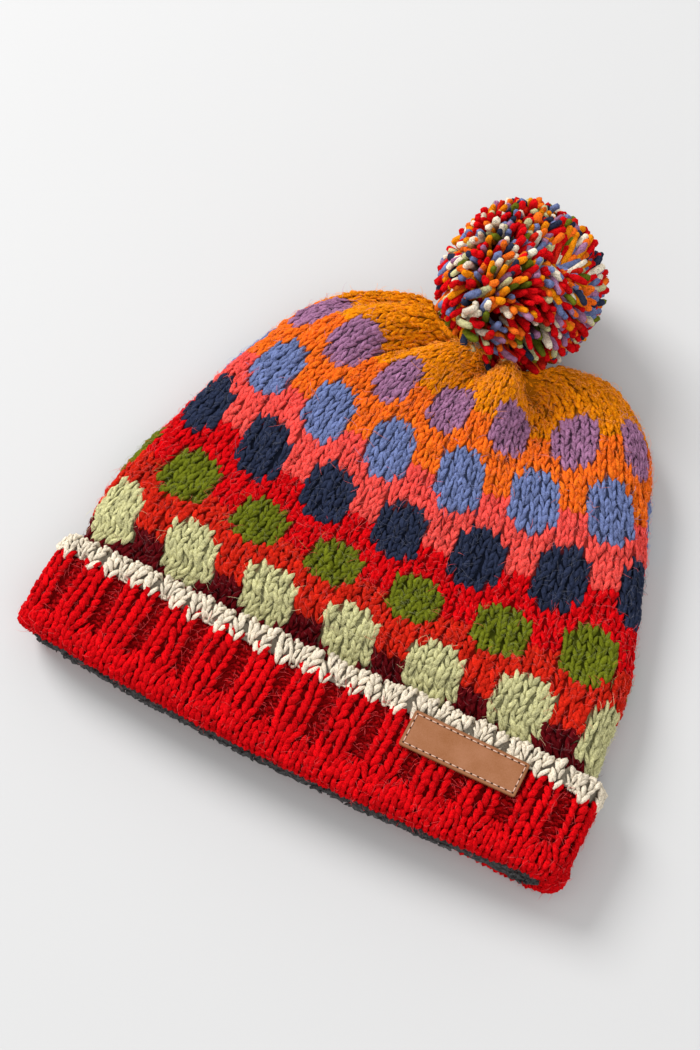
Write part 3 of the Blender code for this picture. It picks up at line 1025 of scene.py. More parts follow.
class Finish:
    """A material under construction."""

    def __init__(self, name, **constants):
        self.material = bpy.data.materials.new(name)
        self.material.use_nodes = True
        self.tree = self.material.node_tree
        self.shader = self.tree.nodes["Principled BSDF"]
        for socket, value in constants.items():
            self.shader.inputs[socket.replace("_", " ")].default_value = value

    def set(self, sockets, name, value):
        found = next((s for s in sockets if s.identifier == name), None) or sockets[name]
        if isinstance(value, Number):
            value = value.socket
        if isinstance(value, bpy.types.NodeSocket):
            self.tree.links.new(value, found)
        else:
            found.default_value = value

    def node(self, kind, settings=None, values=None):
        """A node of a kind, with its settings made before its sockets are given values or links."""
        made = self.tree.nodes.new(kind)
        for name, value in (settings or {}).items():
            setattr(made, name, value)
        for name, value in (values or {}).items():
            self.set(made.inputs, name, value)
        return made

    def maths(self, operation, *values):
        node = self.node("ShaderNodeMath", {"operation": operation})
        for socket, value in zip(node.inputs, values):
            if isinstance(value, Number):
                self.tree.links.new(value.socket, socket)
            else:
                socket.default_value = value
        return Number(self, node.outputs[0])

    def clamped(self, value):
        return self.maths("MAXIMUM", self.maths("MINIMUM", value, 1.0), 0.0)

    def mix(self, share, first, second):
        values = {"Factor_Float": share, "A_Color": first, "B_Color": second}
        node = self.node("ShaderNodeMix", {"data_type": "RGBA"}, values)
        return next(s for s in node.outputs if s.identifier == "Result_Color")

    def place(self):
        return self.node("ShaderNodeTexCoord").outputs["Object"]

    def yarn(self):
        return self.node("ShaderNodeAttribute", {"attribute_name": "yarn"}).outputs["Color"]

    def strand(self):
        """Places on the strand map, across and along it."""
        strand = self.node("ShaderNodeUVMap", {"uv_map": "strand"}).outputs["UV"]
        parts = self.node("ShaderNodeSeparateXYZ", {}, {"Vector": strand}).outputs
        return Number(self, parts["X"]), Number(self, parts["Y"])

    def noise(self, place, scale, detail=2.0, roughness=0.5):
        values = {"Vector": place, "Scale": scale, "Detail": detail, "Roughness": roughness}
        return Number(self, self.node("ShaderNodeTexNoise", {}, values).outputs["Fac"])

    def feed(self, **values):
        for socket, value in values.items():
            self.set(self.shader.inputs, socket.replace("_", " "), value)
        return self.material

    def bump(self, height, strength, distance):
        values = {"Height": height, "Strength": strength, "Distance": distance}
        return self.node("ShaderNodeBump", {}, values).outputs["Normal"]


BLACK = (0, 0, 0, 1)
WHITE = (1, 1, 1, 1)


def wool(name, dark=0.60, light=0.004, pitch=4.2):
    """Brushed yarn: two twisted plies with painted shade in the grooves between them, fibres along the
    strand and a heathered tone over its colour.
    """
    finish = Finish(name, Roughness=0.95, Specular_IOR_Level=0.02)
    yarn = finish.yarn()
    around, along = finish.strand()
    place = finish.place()
    tone = finish.noise(place, 190, 2.0)
    tufts = finish.noise(place, 1100, 2.0)
    fibres = finish.noise(place, 2300, 3.0, 0.65)
    ply = finish.maths("SINE", (around * 2.0 + along / pitch + tufts * 0.5) * (2 * math.pi))
    twisted = (around * 9.0 + along * 0.55, along * 0.32, tone * 40.0)
    lengthways = finish.node("ShaderNodeCombineXYZ", {}, dict(zip("XYZ", twisted))).outputs[0]
    streaks = finish.noise(lengthways, 1.0, 2.0, 0.6)
    grain = (streaks - 0.5) * 1.2 + (fibres - 0.5) * 3.4 + (tufts - 0.5) * 1.8
    # The ply term paints shade into the grooves between the plies; grain and tone vary at random
    shade = finish.clamped(0.80 + ply * 0.08 + grain + (tone - 0.5) * 1.0)
    colour = finish.mix(shade, finish.mix(dark, yarn, BLACK), finish.mix(light, yarn, WHITE))
    height = ply * 0.2 + streaks * 0.6 + fibres * 0.6 + tufts * 0.7
    return finish.feed(Base_Color=colour, Normal=finish.bump(height, 0.9, 0.0008))


def backing(name):
    """The shadowed knitting between the strands."""
    finish = Finish(name, Roughness=0.97, Specular_IOR_Level=0.1)
    yarn = finish.yarn()
    fibres = finish.noise(finish.place(), 1500, 3.0)
    colour = finish.mix(fibres, finish.mix(0.7, yarn, BLACK), yarn)
    return finish.feed(Base_Color=colour, Normal=finish.bump(fibres, 0.6, 0.0008))


def leather(name):
    """Smooth tan leather with a fine grain, darker along its cut edges."""
    finish = Finish(name, Specular_IOR_Level=0.35)
    tan = (*colour_of("leather"), 1)
    place = finish.place()
    grain = finish.noise(place, 1900, 4.0, 0.6)
    cloud = finish.noise(place, 120, 3.0)
    edge, _ = finish.strand()
    worn = finish.clamped(1.0 - edge / 0.9)
    shade = finish.clamped(0.5 + (grain - 0.5) * 0.9 + (cloud - 0.5) * 1.1)
    colour = finish.mix(shade, finish.mix(0.28, tan, BLACK), finish.mix(0.05, tan, WHITE))
    colour = finish.mix(worn * 0.55, colour, finish.mix(0.55, tan, BLACK))
    height = grain * 0.7 + finish.noise(place, 700, 2.0) * 0.5
    rough = 0.50 + grain * 0.16
    return finish.feed(Base_Color=colour, Roughness=rough, Normal=finish.bump(height, 0.35, 0.0003))


def fleece(name):
    """Matt charcoal pile with pale flecks."""
    finish = Finish(name, Roughness=0.97, Specular_IOR_Level=0.05)
    base = (*colour_of("charcoal"), 1)
    place = finish.place()
    pile = finish.noise(place, 1400, 4.0, 0.7)
    curls = finish.noise(place, 480, 2.0)
    shade = finish.clamped((pile - 0.5) * 2.0 + curls)
    colour = finish.mix(shade, finish.mix(0.55, base, BLACK), finish.mix(0.12, base, WHITE))
    return finish.feed(Base_Color=colour, Normal=finish.bump(pile + curls, 0.9, 0.0010))


def thread(name):
    finish = Finish(name, Roughness=0.7, Specular_IOR_Level=0.3)
    yarn = finish.yarn()
    twist = finish.noise(finish.place(), 5000, 2.0)
    colour = finish.mix(twist, finish.mix(0.3, yarn, BLACK), yarn)
    return finish.feed(Base_Color=colour, Normal=finish.bump(twist, 0.4, 0.0001))


def loose_fibre(name):
    finish = Finish(name, Roughness=0.9, Specular_IOR_Level=0.15)
    yarn = finish.yarn()
    pale = finish.noise(finish.place(), 300, 2.0)
    return finish.feed(Base_Color=finish.mix(pale * 0.12, yarn, WHITE))


def table_top(name):
    finish = Finish(name, Roughness=0.62, Specular_IOR_Level=0.25)
    pale = (*colour_of("table"), 1)
    cloud = finish.noise(finish.place(), 6.0, 2.0)
    colour = finish.mix(cloud * 0.06, pale, finish.mix(0.2, pale, BLACK))
    return finish.feed(Base_Color=colour)


# Pieces


def tinted(colours, rng, spread=0.10):
    """Each strand a little lighter or darker than its neighbours."""
    return np.clip(colours * rng.normal(1, spread, (len(colours), 1)), 0, 1)


def crown_column(middle, place):
    """Where columns of the crown stand round the hat, as the fabric leans over and bunches."""
    over = LEAN[0] + LEAN[1] * grow(*LEAN_PLACES, place)
    bunch = BUNCH[0] + BUNCH[1] * grow(*BUNCH_PLACES, place)
    return middle + over - bunch * np.sin(middle * 2 * math.pi / COLUMNS)


def hang(middle, row):
    """How far rows hang from their even places at a column round the hat, in rows."""
    at, centre, edges = np.array(HANGS).T
    side = np.abs(np.sin(middle * 2 * math.pi / COLUMNS)) ** 3
    return np.interp(row, at, centre) + np.interp(row, at, edges) * side


def on_chart(turn, place):
    """The chart's column and row at turns and places of the crown's net."""
    round_hat = COLUMNS * (0.25 - turn)
    column = round_hat - (crown_column(round_hat, place) - round_hat)
    row = place * ALL_ROWS
    row = row - hang(round_hat, row)
    return np.floor(column).astype(int), np.maximum(np.floor(row).astype(int), 0)


def crown_places(net):
    """Where each row starts on each column, and how many rows the column has."""
    column = np.arange(COLUMNS)
    even = np.arange(EVEN_ROWS + 1)
    starts = (even[None] + hang(column[:, None] + 0.5, even[None])) / ALL_ROWS
    place = starts[:, -1:] + (GATHER_END - starts[:, -1:]) * np.linspace(0, 1, 240)
    turn = 0.25 - crown_column(column[:, None] + 0.5, place) / COLUMNS
    points, _, _ = net.read(turn, place)
    steps = np.linalg.norm(np.diff(points, axis=1), axis=-1)
    path = np.concatenate([np.zeros((COLUMNS, 1)), np.cumsum(steps, axis=1)], axis=1)
    counts = np.maximum(np.rint(path[:, -1] / GATHERED_ROW).astype(int), 1)
    most = counts.max()
    places = np.zeros((COLUMNS, EVEN_ROWS + most + 3))
    places[:, : EVEN_ROWS + 1] = starts
    for c in column:
        extra = np.arange(1, most + 3) * path[c, -1] / counts[c]
        places[c, EVEN_ROWS + 1 :] = np.interp(extra, path[c], place[c])
    return places, EVEN_ROWS + counts


def chart_colours(column, row):
    """The yarn colour of stitches on the knitted chart."""
    found = np.zeros((len(column), 3))
    for band in BANDS:
        found[row >= band.first] = colour_of(band.ground)
    half = SPOT_REPEAT // 2
    reach = len(SPOT_HALF_WIDTHS) // 2
    widths = np.array(SPOT_HALF_WIDTHS)
    for spots in SPOT_ROWS:
        off = (column - spots.shift + half) % SPOT_REPEAT - half
        high = row - spots.middle
        near = np.abs(high) <= reach
        width = widths[np.clip(high + reach, 0, 2 * reach)]
        found[near & (np.abs(off) <= width)] = colour_of(spots.colour)
    return found


def build_crown_wall(net):
    inner = crown_net(KNIT_WALL)
    rows = np.linspace(TUCKED_ROWS, 1, 56)
    inner_rows = np.linspace(1, TUCKED_ROWS, 22)
    at_station = np.concatenate([rows, inner_rows])

    def place(turn, station):
        outside = station < len(rows)
        at = at_station[station]
        points, normals, _ = net.read(turn, at)
        sunk = points - normals * CROWN_SUNK * np.minimum(1, (1 - at) / 0.02)[:, None]
        inside, _, _ = inner.read(turn, at)
        return np.where(outside[:, None], above_table(sunk, 0.0004), inside)

    def shade(turn, station):
        # Painted shade: the wall takes the chart's colour darkened, as in the shadow between the strands
        return chart_colours(*on_chart(turn, at_station[station])) * CROWN_WALL_PAINTED_SHADE

    mesh = bent_shell("crown_wall", WALL_STEPS, len(at_station), place, shade)
    new_piece("crown_wall", mesh, backing("crown_backing"), "crown")


def build_crown():
    rng = np.random.default_rng(11)
    net = crown_net()
    build_crown_wall(net)
    places, counts = crown_places(net)
    column, row = np.meshgrid(np.arange(COLUMNS), np.arange(-1, places.shape[1] - 2), indexing="ij")
    column, row = column.ravel(), row.ravel()
    kept = row < counts[column]
    column, row = column[kept], row[kept]
    place = places[column, np.maximum(row, 0)]
    turn = (0.25 - crown_column(column + 0.5, place) / COLUMNS) % 1
    _, _, spacing = net.read(turn, place)
    step = np.where(spacing > PAIRED_WIDTH, 1, np.where(spacing > FOURED_WIDTH, 2, 4))
    kept = column % step == 0
    column, row, step, turn = column[kept], row[kept], step[kept], turn[kept]
    in_view = (turn < BACK_TURNS[0]) | (turn > BACK_TURNS[1])
    parts = (
        ("lower", in_view & (row < LOWER_ROWS), KNIT_LEG, 5),
        ("middle", in_view & (row >= LOWER_ROWS) & (row < MIDDLE_ROWS), KNIT_LEG, 5),
        ("upper", in_view & (row >= MIDDLE_ROWS), KNIT_LEG, 5),
        ("back", ~in_view, PLAIN_LEG, 4),
    )

    def place_of(column, rows):
        at = np.clip(rows, 0, places.shape[1] - 1.001)
        low = np.floor(at).astype(int)
        share = at - low
        before = np.minimum(rows, 0) / ALL_ROWS
        column = column[:, None]
        return places[column, low] * (1 - share) + places[column, low + 1] * share + before

    fabric = Fabric("crown", "crown_knit", wool("crown_wool"), net, place_of, crown_column)
    for part, chosen, table, sides in parts:
        legs = both_legs(column[chosen], row[chosen], step[chosen])
        colours = tinted(chart_colours(legs[0], np.maximum(legs[1], 0)), rng)
        yarn = Yarn(sizes().yarn_width, sizes().yarn_thickness, sides)
        lay_strands("crown_stitches_" + part, fabric, table, legs, yarn, colours, rng)


def edge_rise(turn):
    """How far the edging stands above its even place, in metres."""
    at, rise = np.array(EDGE_LINE).T
    return np.interp(columns_off(turn), at, rise)


def ribbed(place):
    """How far the rib stands out at places along the band, from none at the fold."""
    return grow(*(path_at(up) for up in RIB_FADE), place)


def ribbed_column(middle, place):
    """Where columns of the cuff stand: the pairs of knit columns spread and the purl ones draw in."""
    return middle + RIB_SPREAD * ribbed(place) * np.sin(middle * math.pi / 2)


def under_label(turn, up, points):
    """1 under the label and 0 clear of it."""
    across = np.abs(points[..., 0] - LABEL_ACROSS) - LABEL_LENGTH / 2
    along = np.abs(up - LABEL_UP) - LABEL_HEIGHT / 2
    return (1 - grow(0.0, LABEL_PRESS, np.maximum(across, along))) * (turn % 1 < 0.5)


def rib_lift(turn, place, points):
    """The ridges and valleys of the rib, pressed flat under the label."""
    column = COLUMNS * (0.25 - turn)
    lift = RIB_RISE * ribbed(place) * np.cos(column * math.pi / 2)
    pressed = under_label(turn, place - path_at(0.0), points)
    return lift * (1 - pressed) - 0.0009 * pressed


def build_cuff_wall():
    path = np.linspace(path_at(OUTER_LEG_TOP), -FOLD_QUARTER, 26)
    inner_up = (FOLD_RADIUS, INNER_LEG_HEIGHT, INNER_LEG_HEIGHT, RIB_WALL, RIB_WALL, OUTER_LEG_TOP)
    inner_out = (INNER_LEG_IN, INNER_LEG_IN, INNER_LEG_OUT, INNER_LEG_OUT, OUTER_LEG_IN, OUTER_LEG_IN)
    fold_up, fold_out = cuff_profile(path, -RIB_SUNK)
    fold_out[-1] = INNER_LEG_IN
    ups = np.concatenate([fold_up, inner_up])
    outs = np.concatenate([fold_out, inner_out])
    # Painted shade: the wall behind the rib is the red yarn darkened, as in the strands' shadow
    mesh = band_wall("cuff_wall", WALL_STEPS, ups, outs, colour_of("red") * WALL_PAINTED_SHADE)
    new_piece("cuff_wall", mesh, backing("cuff_backing"), "cuff")


def row_places(start, row_height):
    """Places of rows that follow one another evenly."""

    def place_of(column, rows):
        return start + rows * row_height

    return place_of


def stitch_grid(columns, rows):
    """A column and a row for every stitch of a rectangle."""
    return (v.ravel() for v in np.meshgrid(np.arange(columns), np.arange(rows), indexing="ij"))


def both_legs(column, row, step):
    """The two legs of each stitch."""
    flip = np.tile([-1.0, 1.0], len(column))
    return np.repeat(column, 2), np.repeat(row, 2), np.repeat(step, 2), flip


def on_ridge(column):
    return (column % 4 == 0) | (column % 4 == 3)


def raised(table, height):
    """A table of reaches, lifted further off the fabric."""
    return [reach._replace(lift=reach.lift + height) for reach in table]


def lay_purls(name, fabric, height, column, row, yarn, colour, rng, spread):
    """Purl stitches as two pieces, their heads and their feet."""
    ones = np.ones(len(column))
    for part, table in (("_heads", PURL_HEAD), ("_feet", PURL_FOOT)):
        colours = np.tile(colour, (len(column), 1))
        if spread:
            colours = tinted(colours, rng, spread)
        stitches = (column, row, ones, ones)
        lay_strands(name + part, fabric, raised(table, height), stitches, yarn, colours, rng)


def build_cuff():
    rng = np.random.default_rng(23)
    net = band_net(PATH_START, PATH_END, cuff_fold)
    build_cuff_wall()
    red = colour_of("red")
    thick = sizes().yarn_thickness
    top = path_at(OUTER_LEG_TOP)
    rows = math.ceil((top + FOLD_QUARTER) / RIB_ROW)
    start = top - rows * RIB_ROW
    column, row = stitch_grid(COLUMNS, rows)
    ragged = 0.0012 * np.sin(column * 2 * math.pi / COLUMNS) + 0.0016 * np.sin(2.6 * column)
    sunk = ~on_ridge(column) & (start + row * RIB_ROW > path_at(RIB_FOOT + ragged))
    place_of = row_places(start, RIB_ROW)
    fabric = Fabric("cuff", "cuff_knit", wool("cuff_wool"), net, place_of, ribbed_column, rib_lift)

    legs = both_legs(column[~sunk], row[~sunk], np.ones((~sunk).sum()))
    colours = tinted(np.tile(red, (len(legs[0]), 1)), rng)
    ribs = Yarn(0.25, thick * 1.1, uneven=0.55)
    lay_strands("cuff_ribs", fabric, RIB_LEG, legs, ribs, colours, rng)
    valleys = Yarn(0.26, thick * 0.9, uneven=0.6)
    # Painted shade: the purls in the rib's valleys are the red yarn darkened, as in the valleys' shadow
    lay_purls("cuff_valley", fabric, 0.0, column[sunk], row[sunk], valleys, red * 0.56, rng, 0.10)


def edging_profile(path, lift):
    """(up, out) up the edging's outside and over its top."""
    bend_start = CUFF_HEIGHT - EDGING_ROUND
    bend = np.clip((path - bend_start) / EDGING_ROUND, 0, math.pi)
    radius = EDGING_ROUND + lift
    up = np.minimum(path, bend_start) + radius * np.sin(bend)
    return up, EDGING_OUT - EDGING_ROUND + radius * np.cos(bend)


def edging_ring(turn, path):
    up, out = edging_profile(path, 0.0)
    return cuff_ring(up + edge_rise(turn), out)


def edging_column(middle, place):
    """Where columns of the edging stand: spread like the rib at the foot and even at the top."""
    spread = RIB_SPREAD * (1 - grow(OUTER_LEG_TOP, CUFF_HEIGHT, place))
    return middle + spread * np.sin(middle * math.pi / 2)


def edging_lift(turn, place, points):
    """The rib at the edging's foot, a knob on every column along its top, and the label's press."""
    column = COLUMNS * (0.25 - turn)
    top = grow(CUFF_HEIGHT - 0.004, CUFF_HEIGHT, place)
    rib = RIB_RISE * (1 - grow(OUTER_LEG_TOP, CUFF_HEIGHT - 0.002, place)) * np.cos(column * math.pi / 2)
    knobs = top * (0.0005 * np.sin(1.9 * column) - 0.0004 * np.cos(column * 2 * math.pi))
    pressed = under_label(turn, place + edge_rise(turn), points)
    return (rib + knobs) * (1 - pressed) - 0.0012 * pressed


def build_edging_wall():
    low = OUTER_LEG_TOP + PIECE_GAP
    ups, outs = edging_profile(np.linspace(low, EDGING_END, 14), -EDGING_SUNK)
    ups = np.append(ups, low)
    outs = np.append(outs, OUTER_LEG_IN + EDGING_SUNK)
    # Painted shade: the wall behind the edging is the cream yarn darkened, as in the strands' shadow
    mesh = band_wall("edging_wall", WALL_STEPS, ups, outs, colour_of("cream") * WALL_PAINTED_SHADE, edge_rise)
    new_piece("edging_wall", mesh, backing("edging_backing"), "cuff_edging")


def build_edging():
    rng = np.random.default_rng(37)
    net = band_net(EDGING_TIPS - EDGING_ROW, EDGING_END, edging_ring)
    finish = wool("edging_wool", dark=0.50, light=0.03)
    cream = colour_of("cream")
    build_edging_wall()
    place_of = row_places(EDGING_TIPS, EDGING_ROW)
    fabric = Fabric("cuff_edging", "edging_knit", finish, net, place_of, edging_column, edging_lift)
    column, row = stitch_grid(COLUMNS, EDGING_ROWS)
    bump = ~on_ridge(column) & (row == 0)

    across, up, step, flip = both_legs(column[~bump], row[~bump], np.ones((~bump).sum()))
    legs = (across, up + 0.25 * flip * (up > 0), step, flip)
    colours = tinted(np.tile(cream, (len(across), 1)), rng, 0.05)
    lay_strands("edging_legs", fabric, raised(KNIT_LEG, 0.0008), legs, Yarn(0.195, 0.0010), colours, rng)
    bumps = Yarn(0.21, 0.0010)
    high = row[bump] + 0.45
    # Painted shade: the purl bumps in the rib's valleys at the edging's foot are the cream a little
    # darkened
    lay_purls("edging_bumps", fabric, 0.0010, column[bump], high, bumps, cream * 0.9, rng, 0.05)


def lining_column(middle, place):
    """Columns of the lining stand straight."""
    return middle + place * 0


def build_lining():
    rng = np.random.default_rng(41)
    finish = fleece("fleece")
    charcoal = colour_of("charcoal")
    outer_up = (-LINING_SHOW, -LINING_SHOW, 0.004, INNER_LEG_HEIGHT, LINING_TOP)
    inner_up = (LINING_TOP, INNER_LEG_HEIGHT, 0.004)
    ups = np.array(outer_up + inner_up)
    outs = np.array([0.0003, LINING_WALL, LINING_WALL, LINING_WALL, LINING_WALL, 0.0, 0.0, 0.0])
    mesh = band_wall("lining_sleeve", SLEEVE_STEPS, ups, outs, charcoal)
    sleeve = new_piece("lining_sleeve", mesh, finish, "lining")

    net = band_net(RIM_START, RIM_END, lining_rim)
    fabric = Fabric("lining", "fleece", finish, net, row_places(0.0, PILE_ROW), lining_column)
    column, row = stitch_grid(COLUMNS, PILE_ROWS)
    pile = Yarn(0.24, 0.0010, 4)
    lay_purls("lining_pile", fabric, 0.0012, column, row - 1, pile, charcoal, rng, 0)
    rim = 4 * (MOUTH_HALF_WIDTH - MOUTH_GAP / 2) + math.pi * MOUTH_GAP


def on_cuff(x, y, lift):
    """A point of the label's plane, x across and y up from its middle, lifted off the cuff."""
    across = LABEL_ACROSS + x * np.cos(LABEL_TILT) - y * np.sin(LABEL_TILT)
    up = LABEL_UP + x * np.sin(LABEL_TILT) + y * np.cos(LABEL_TILT)
    ring = cuff_ring(up, max(OUTER_LEG_OUT, EDGING_OUT) + PIECE_GAP + LABEL_WALL / 2 + lift)
    share = across / ring.span
    reach = ring.front_reach + ring.front_smile * share**2 - ORIGIN_REACH
    return np.stack([across, reach, ring.top - ring.drop * share**2], axis=-1)


def build_label():
    bm = bmesh.new()
    bmesh.ops.create_cube(bm, size=1)
    bmesh.ops.scale(bm, verts=bm.verts, vec=(LABEL_LENGTH, LABEL_HEIGHT, LABEL_WALL))
    upright_edges = [e for e in bm.edges if abs(e.verts[0].co.z - e.verts[1].co.z) > 1e-6]
    bmesh.ops.bevel(
        bm, geom=upright_edges, offset=LABEL_CORNER, segments=4, profile=0.5, affect="EDGES", material=-1
    )
    rim = [e for e in bm.edges if abs(e.verts[0].co.z - e.verts[1].co.z) < 1e-6]
    bmesh.ops.bevel(
        bm, geom=rim, offset=LABEL_BEVEL, segments=3, profile=0.5, affect="EDGES", material=-1
    )
    sides = ((Vector((1, 0, 0)), LABEL_LENGTH), (Vector((0, 1, 0)), LABEL_HEIGHT))
    for (axis, length), count in zip(sides, LABEL_CUTS):
        for step in range(1, count):
            cut = axis * (length * (step / count - 0.5))
            geom = list(bm.verts) + list(bm.edges) + list(bm.faces)
            bmesh.ops.bisect_plane(bm, geom=geom, plane_co=cut, plane_no=axis)
    bmesh.ops.recalc_face_normals(bm, faces=bm.faces)
    mesh = mesh_of("label_plate", bm)
    x, y, z = corners_of(mesh).T.astype(float)
    inset = np.minimum(LABEL_LENGTH / 2 - np.abs(x), LABEL_HEIGHT / 2 - np.abs(y))
    groove = SEAM_GROOVE * np.exp(-(((inset - SEAM_INSET) / SEAM_GROOVE_WIDTH) ** 2)) * (z > 0)
    move_corners(mesh, on_cuff(x, y, z - groove))
    mesh.shade_smooth()
    loops = np.zeros(len(mesh.loops), np.int32)
    mesh.loops.foreach_get("vertex_index", loops)
    uv = np.stack([inset[loops] * 1000, y[loops] * 1000], axis=-1)
    mesh.uv_layers.new(name="strand").uv.foreach_set("vector", uv.astype(np.float32).ravel())
    new_piece("label_plate", mesh, leather("label_leather"), "label")
    build_label_seam()


def seam_holes():
    """The needle's holes round the label, as an array of x and y."""
    wide = LABEL_LENGTH - 2 * SEAM_INSET
    high = LABEL_HEIGHT - 2 * SEAM_INSET
    corners = ((-1, -1), (1, -1), (1, 1), (-1, 1))
    holes = []
    for i, (a, b) in enumerate(corners):
        c, d = corners[(i + 1) % 4]
        count = round((wide if b == d else high) / SEAM_STITCH)
        for step in range(count):
            share = step / count
            holes.append(((a + (c - a) * share) * wide / 2, (b + (d - b) * share) * high / 2))
    return np.array(holes)


def add_seam_part(name, x, y, lift, half, flatness, colour, finish):
    """Short strands on the label's face, one for each row of x and y."""
    lift = np.broadcast_to(LABEL_WALL / 2 + lift, x.shape)
    middles = on_cuff(x, y, lift)
    ups = on_cuff(x, y, lift + 0.001) - middles
    halves = np.broadcast_to(half, x.shape)
    colours = np.tile(colour, (len(x), 1))
    mesh = strand_mesh(name, middles, ups, halves, halves * flatness, colours)
    new_piece(name, mesh, finish, "label")


def build_label_seam():
    """A running stitch round the label, with painted shadow in the needle's holes between the stitches:
    flat dark discs on the leather.
    """
    holes = seam_holes()
    ends = np.roll(holes, -1, axis=0)
    finish = thread("label_thread")
    share, lift, half = np.array(SEAM_THREAD).T
    x = holes[:, :1] * (1 - share) + ends[:, :1] * share
    y = holes[:, 1:] * (1 - share) + ends[:, 1:] * share
    add_seam_part("label_thread", x, y, lift, half, 1.0, colour_of("thread"), finish)
    # Painted shadow: each needle hole is a flat disc of darkened leather colour laid on the face
    reach, half = np.array(SEAM_HOLE).T
    x = holes[:, :1] + reach
    y = holes[:, 1:] + reach * 0
    add_seam_part("label_hole_shadows", x, y, 0.00001, half, 0.18, colour_of("leather") * 0.10, finish)


def even_directions(count, rng):
    """Directions spread evenly over a ball, a little disturbed."""
    number = np.arange(count) + 0.5
    level = 1 - 2 * number / count
    turn = number * math.pi * (1 + math.sqrt(5))
    flat = np.sqrt(1 - level**2)
    found = np.stack([flat * np.cos(turn), flat * np.sin(turn), level], axis=-1)
    return unit(found + rng.normal(0, 0.035, found.shape))


def build_pompom_core(centre):
    bm = bmesh.new()
    bmesh.ops.create_icosphere(bm, subdivisions=4, radius=POMPOM_RADIUS * POMPOM_CORE)
    bmesh.ops.translate(bm, verts=bm.verts, vec=centre)
    core = mesh_of("pompom_core", bm)
    core.shade_smooth()
    # Painted shade: the core deep in the pompom is burgundy darkened, as in the shadow of the ends
    set_yarn(core, np.tile(colour_of("burgundy") * WALL_PAINTED_SHADE, (len(core.vertices), 1)))
    core.uv_layers.new(name="strand")
    new_piece("pompom_core", core, backing("pompom_backing"), "pompom")


def build_pompom():
    rng = np.random.default_rng(53)
    centre = from_origin(POMPOM_CENTRE)
    finish = wool("pompom_wool", light=0.006, pitch=5.0)
    build_pompom_core(centre)

    count = sizes().pompom_ends
    shares = np.array([share for _, share in POMPOM_MIX])
    picked = rng.choice(len(POMPOM_MIX), count, p=shares / shares.sum())
    palette = np.array([colour_of(name) for name, _ in POMPOM_MIX])
    colours = tinted(palette[picked], rng)
    out = even_directions(count, rng)
    from_parting = out - np.array(PARTING)
    dip = np.exp(-((np.linalg.norm(from_parting, axis=1) / PARTING_WIDTH) ** 2))
    splay = unit(from_parting - out * np.sum(from_parting * out, axis=1, keepdims=True))
    sweep = np.sin(out @ rng.normal(0, 2.6, (3, 3)) + rng.uniform(0, 2 * math.pi, 3))
    loose = rng.normal(0, END_SPREAD, (count, 3))
    bend = sweep * END_SWEEP + loose + splay * (dip * PARTING_SPLAY)[:, None]
    shag = SHAG * np.clip(out @ np.array(SHAGGY), 0, 1) ** 3 * rng.random(count)
    end = POMPOM_RADIUS * (1 - END_TRIM * rng.random(count)) - PARTING_DEPTH * dip + shag
    length = END_LENGTH + END_SPARE * rng.random(count)
    share, full = np.array(POMPOM_END).T
    level = end[:, None] - length[:, None] * (1 - share[None])
    sideways = (share**1.6 - 0.75) * END_CURVE
    middles = out[:, None] * level[..., None] + bend[:, None] * sideways[None, :, None]
    far = np.linalg.norm(middles, axis=-1, keepdims=True)
    most = POMPOM_RADIUS - END_MARGIN + shag[:, None, None]
    middles = middles / far * np.minimum(far, most) + centre
    half = sizes().pompom_yarn * rng.normal(1, 0.10, (count, 1)) * full[None]
    half = half * rng.normal(1, 0.09, half.shape)
    middles[..., 2] = np.maximum(middles[..., 2], half * 0.8 + 0.0003)
    ups = np.broadcast_to(unit(rng.normal(0, 1, (count, 1, 3))), middles.shape)
    mesh = strand_mesh("pompom_yarn", middles, ups, half, half, colours)
    new_piece("pompom_yarn", mesh, finish, "pompom")


def build_tie():
    rng = np.random.default_rng(61)
    gather = from_origin(GATHER)
    axis = np.array((POMPOM_CENTRE - GATHER).normalized())
    first = unit(np.cross(axis, (0, 0, 1)))
    second = np.cross(axis, first)
    place = np.linspace(-TIE_KNOT_DEPTH - TIE_KNOT_RADIUS, POMPOM_CLEARANCE + TIE_PAST, 26)
    bulge = np.exp(-(((place + TIE_KNOT_DEPTH) / (TIE_KNOT_RADIUS * 0.8)) ** 2))
    radius = TIE_CORE + (TIE_KNOT_RADIUS - 0.0019) * bulge
    strands = []
    for number in range(TIE_STRANDS):
        angle = place * TIE_TWIST + number * 2 * math.pi / TIE_STRANDS
        ring = np.cos(angle)[:, None] * first + np.sin(angle)[:, None] * second
        strands.append(gather + axis * place[:, None] + ring * radius[:, None])
    middles = np.array(strands)
    half = np.full(middles.shape[:2], TIE_YARN)
    half[:, [0, -1]] = 0
    ups = np.broadcast_to(unit(middles - gather) + 0.01, middles.shape)
    colours = tinted(np.tile(colour_of("red"), (TIE_STRANDS, 1)), rng)
    mesh = strand_mesh("tie_yarn", middles, ups, half, half, colours, 8)
    new_piece("tie_yarn", mesh, wool("tie_wool"), "pompom_tie")


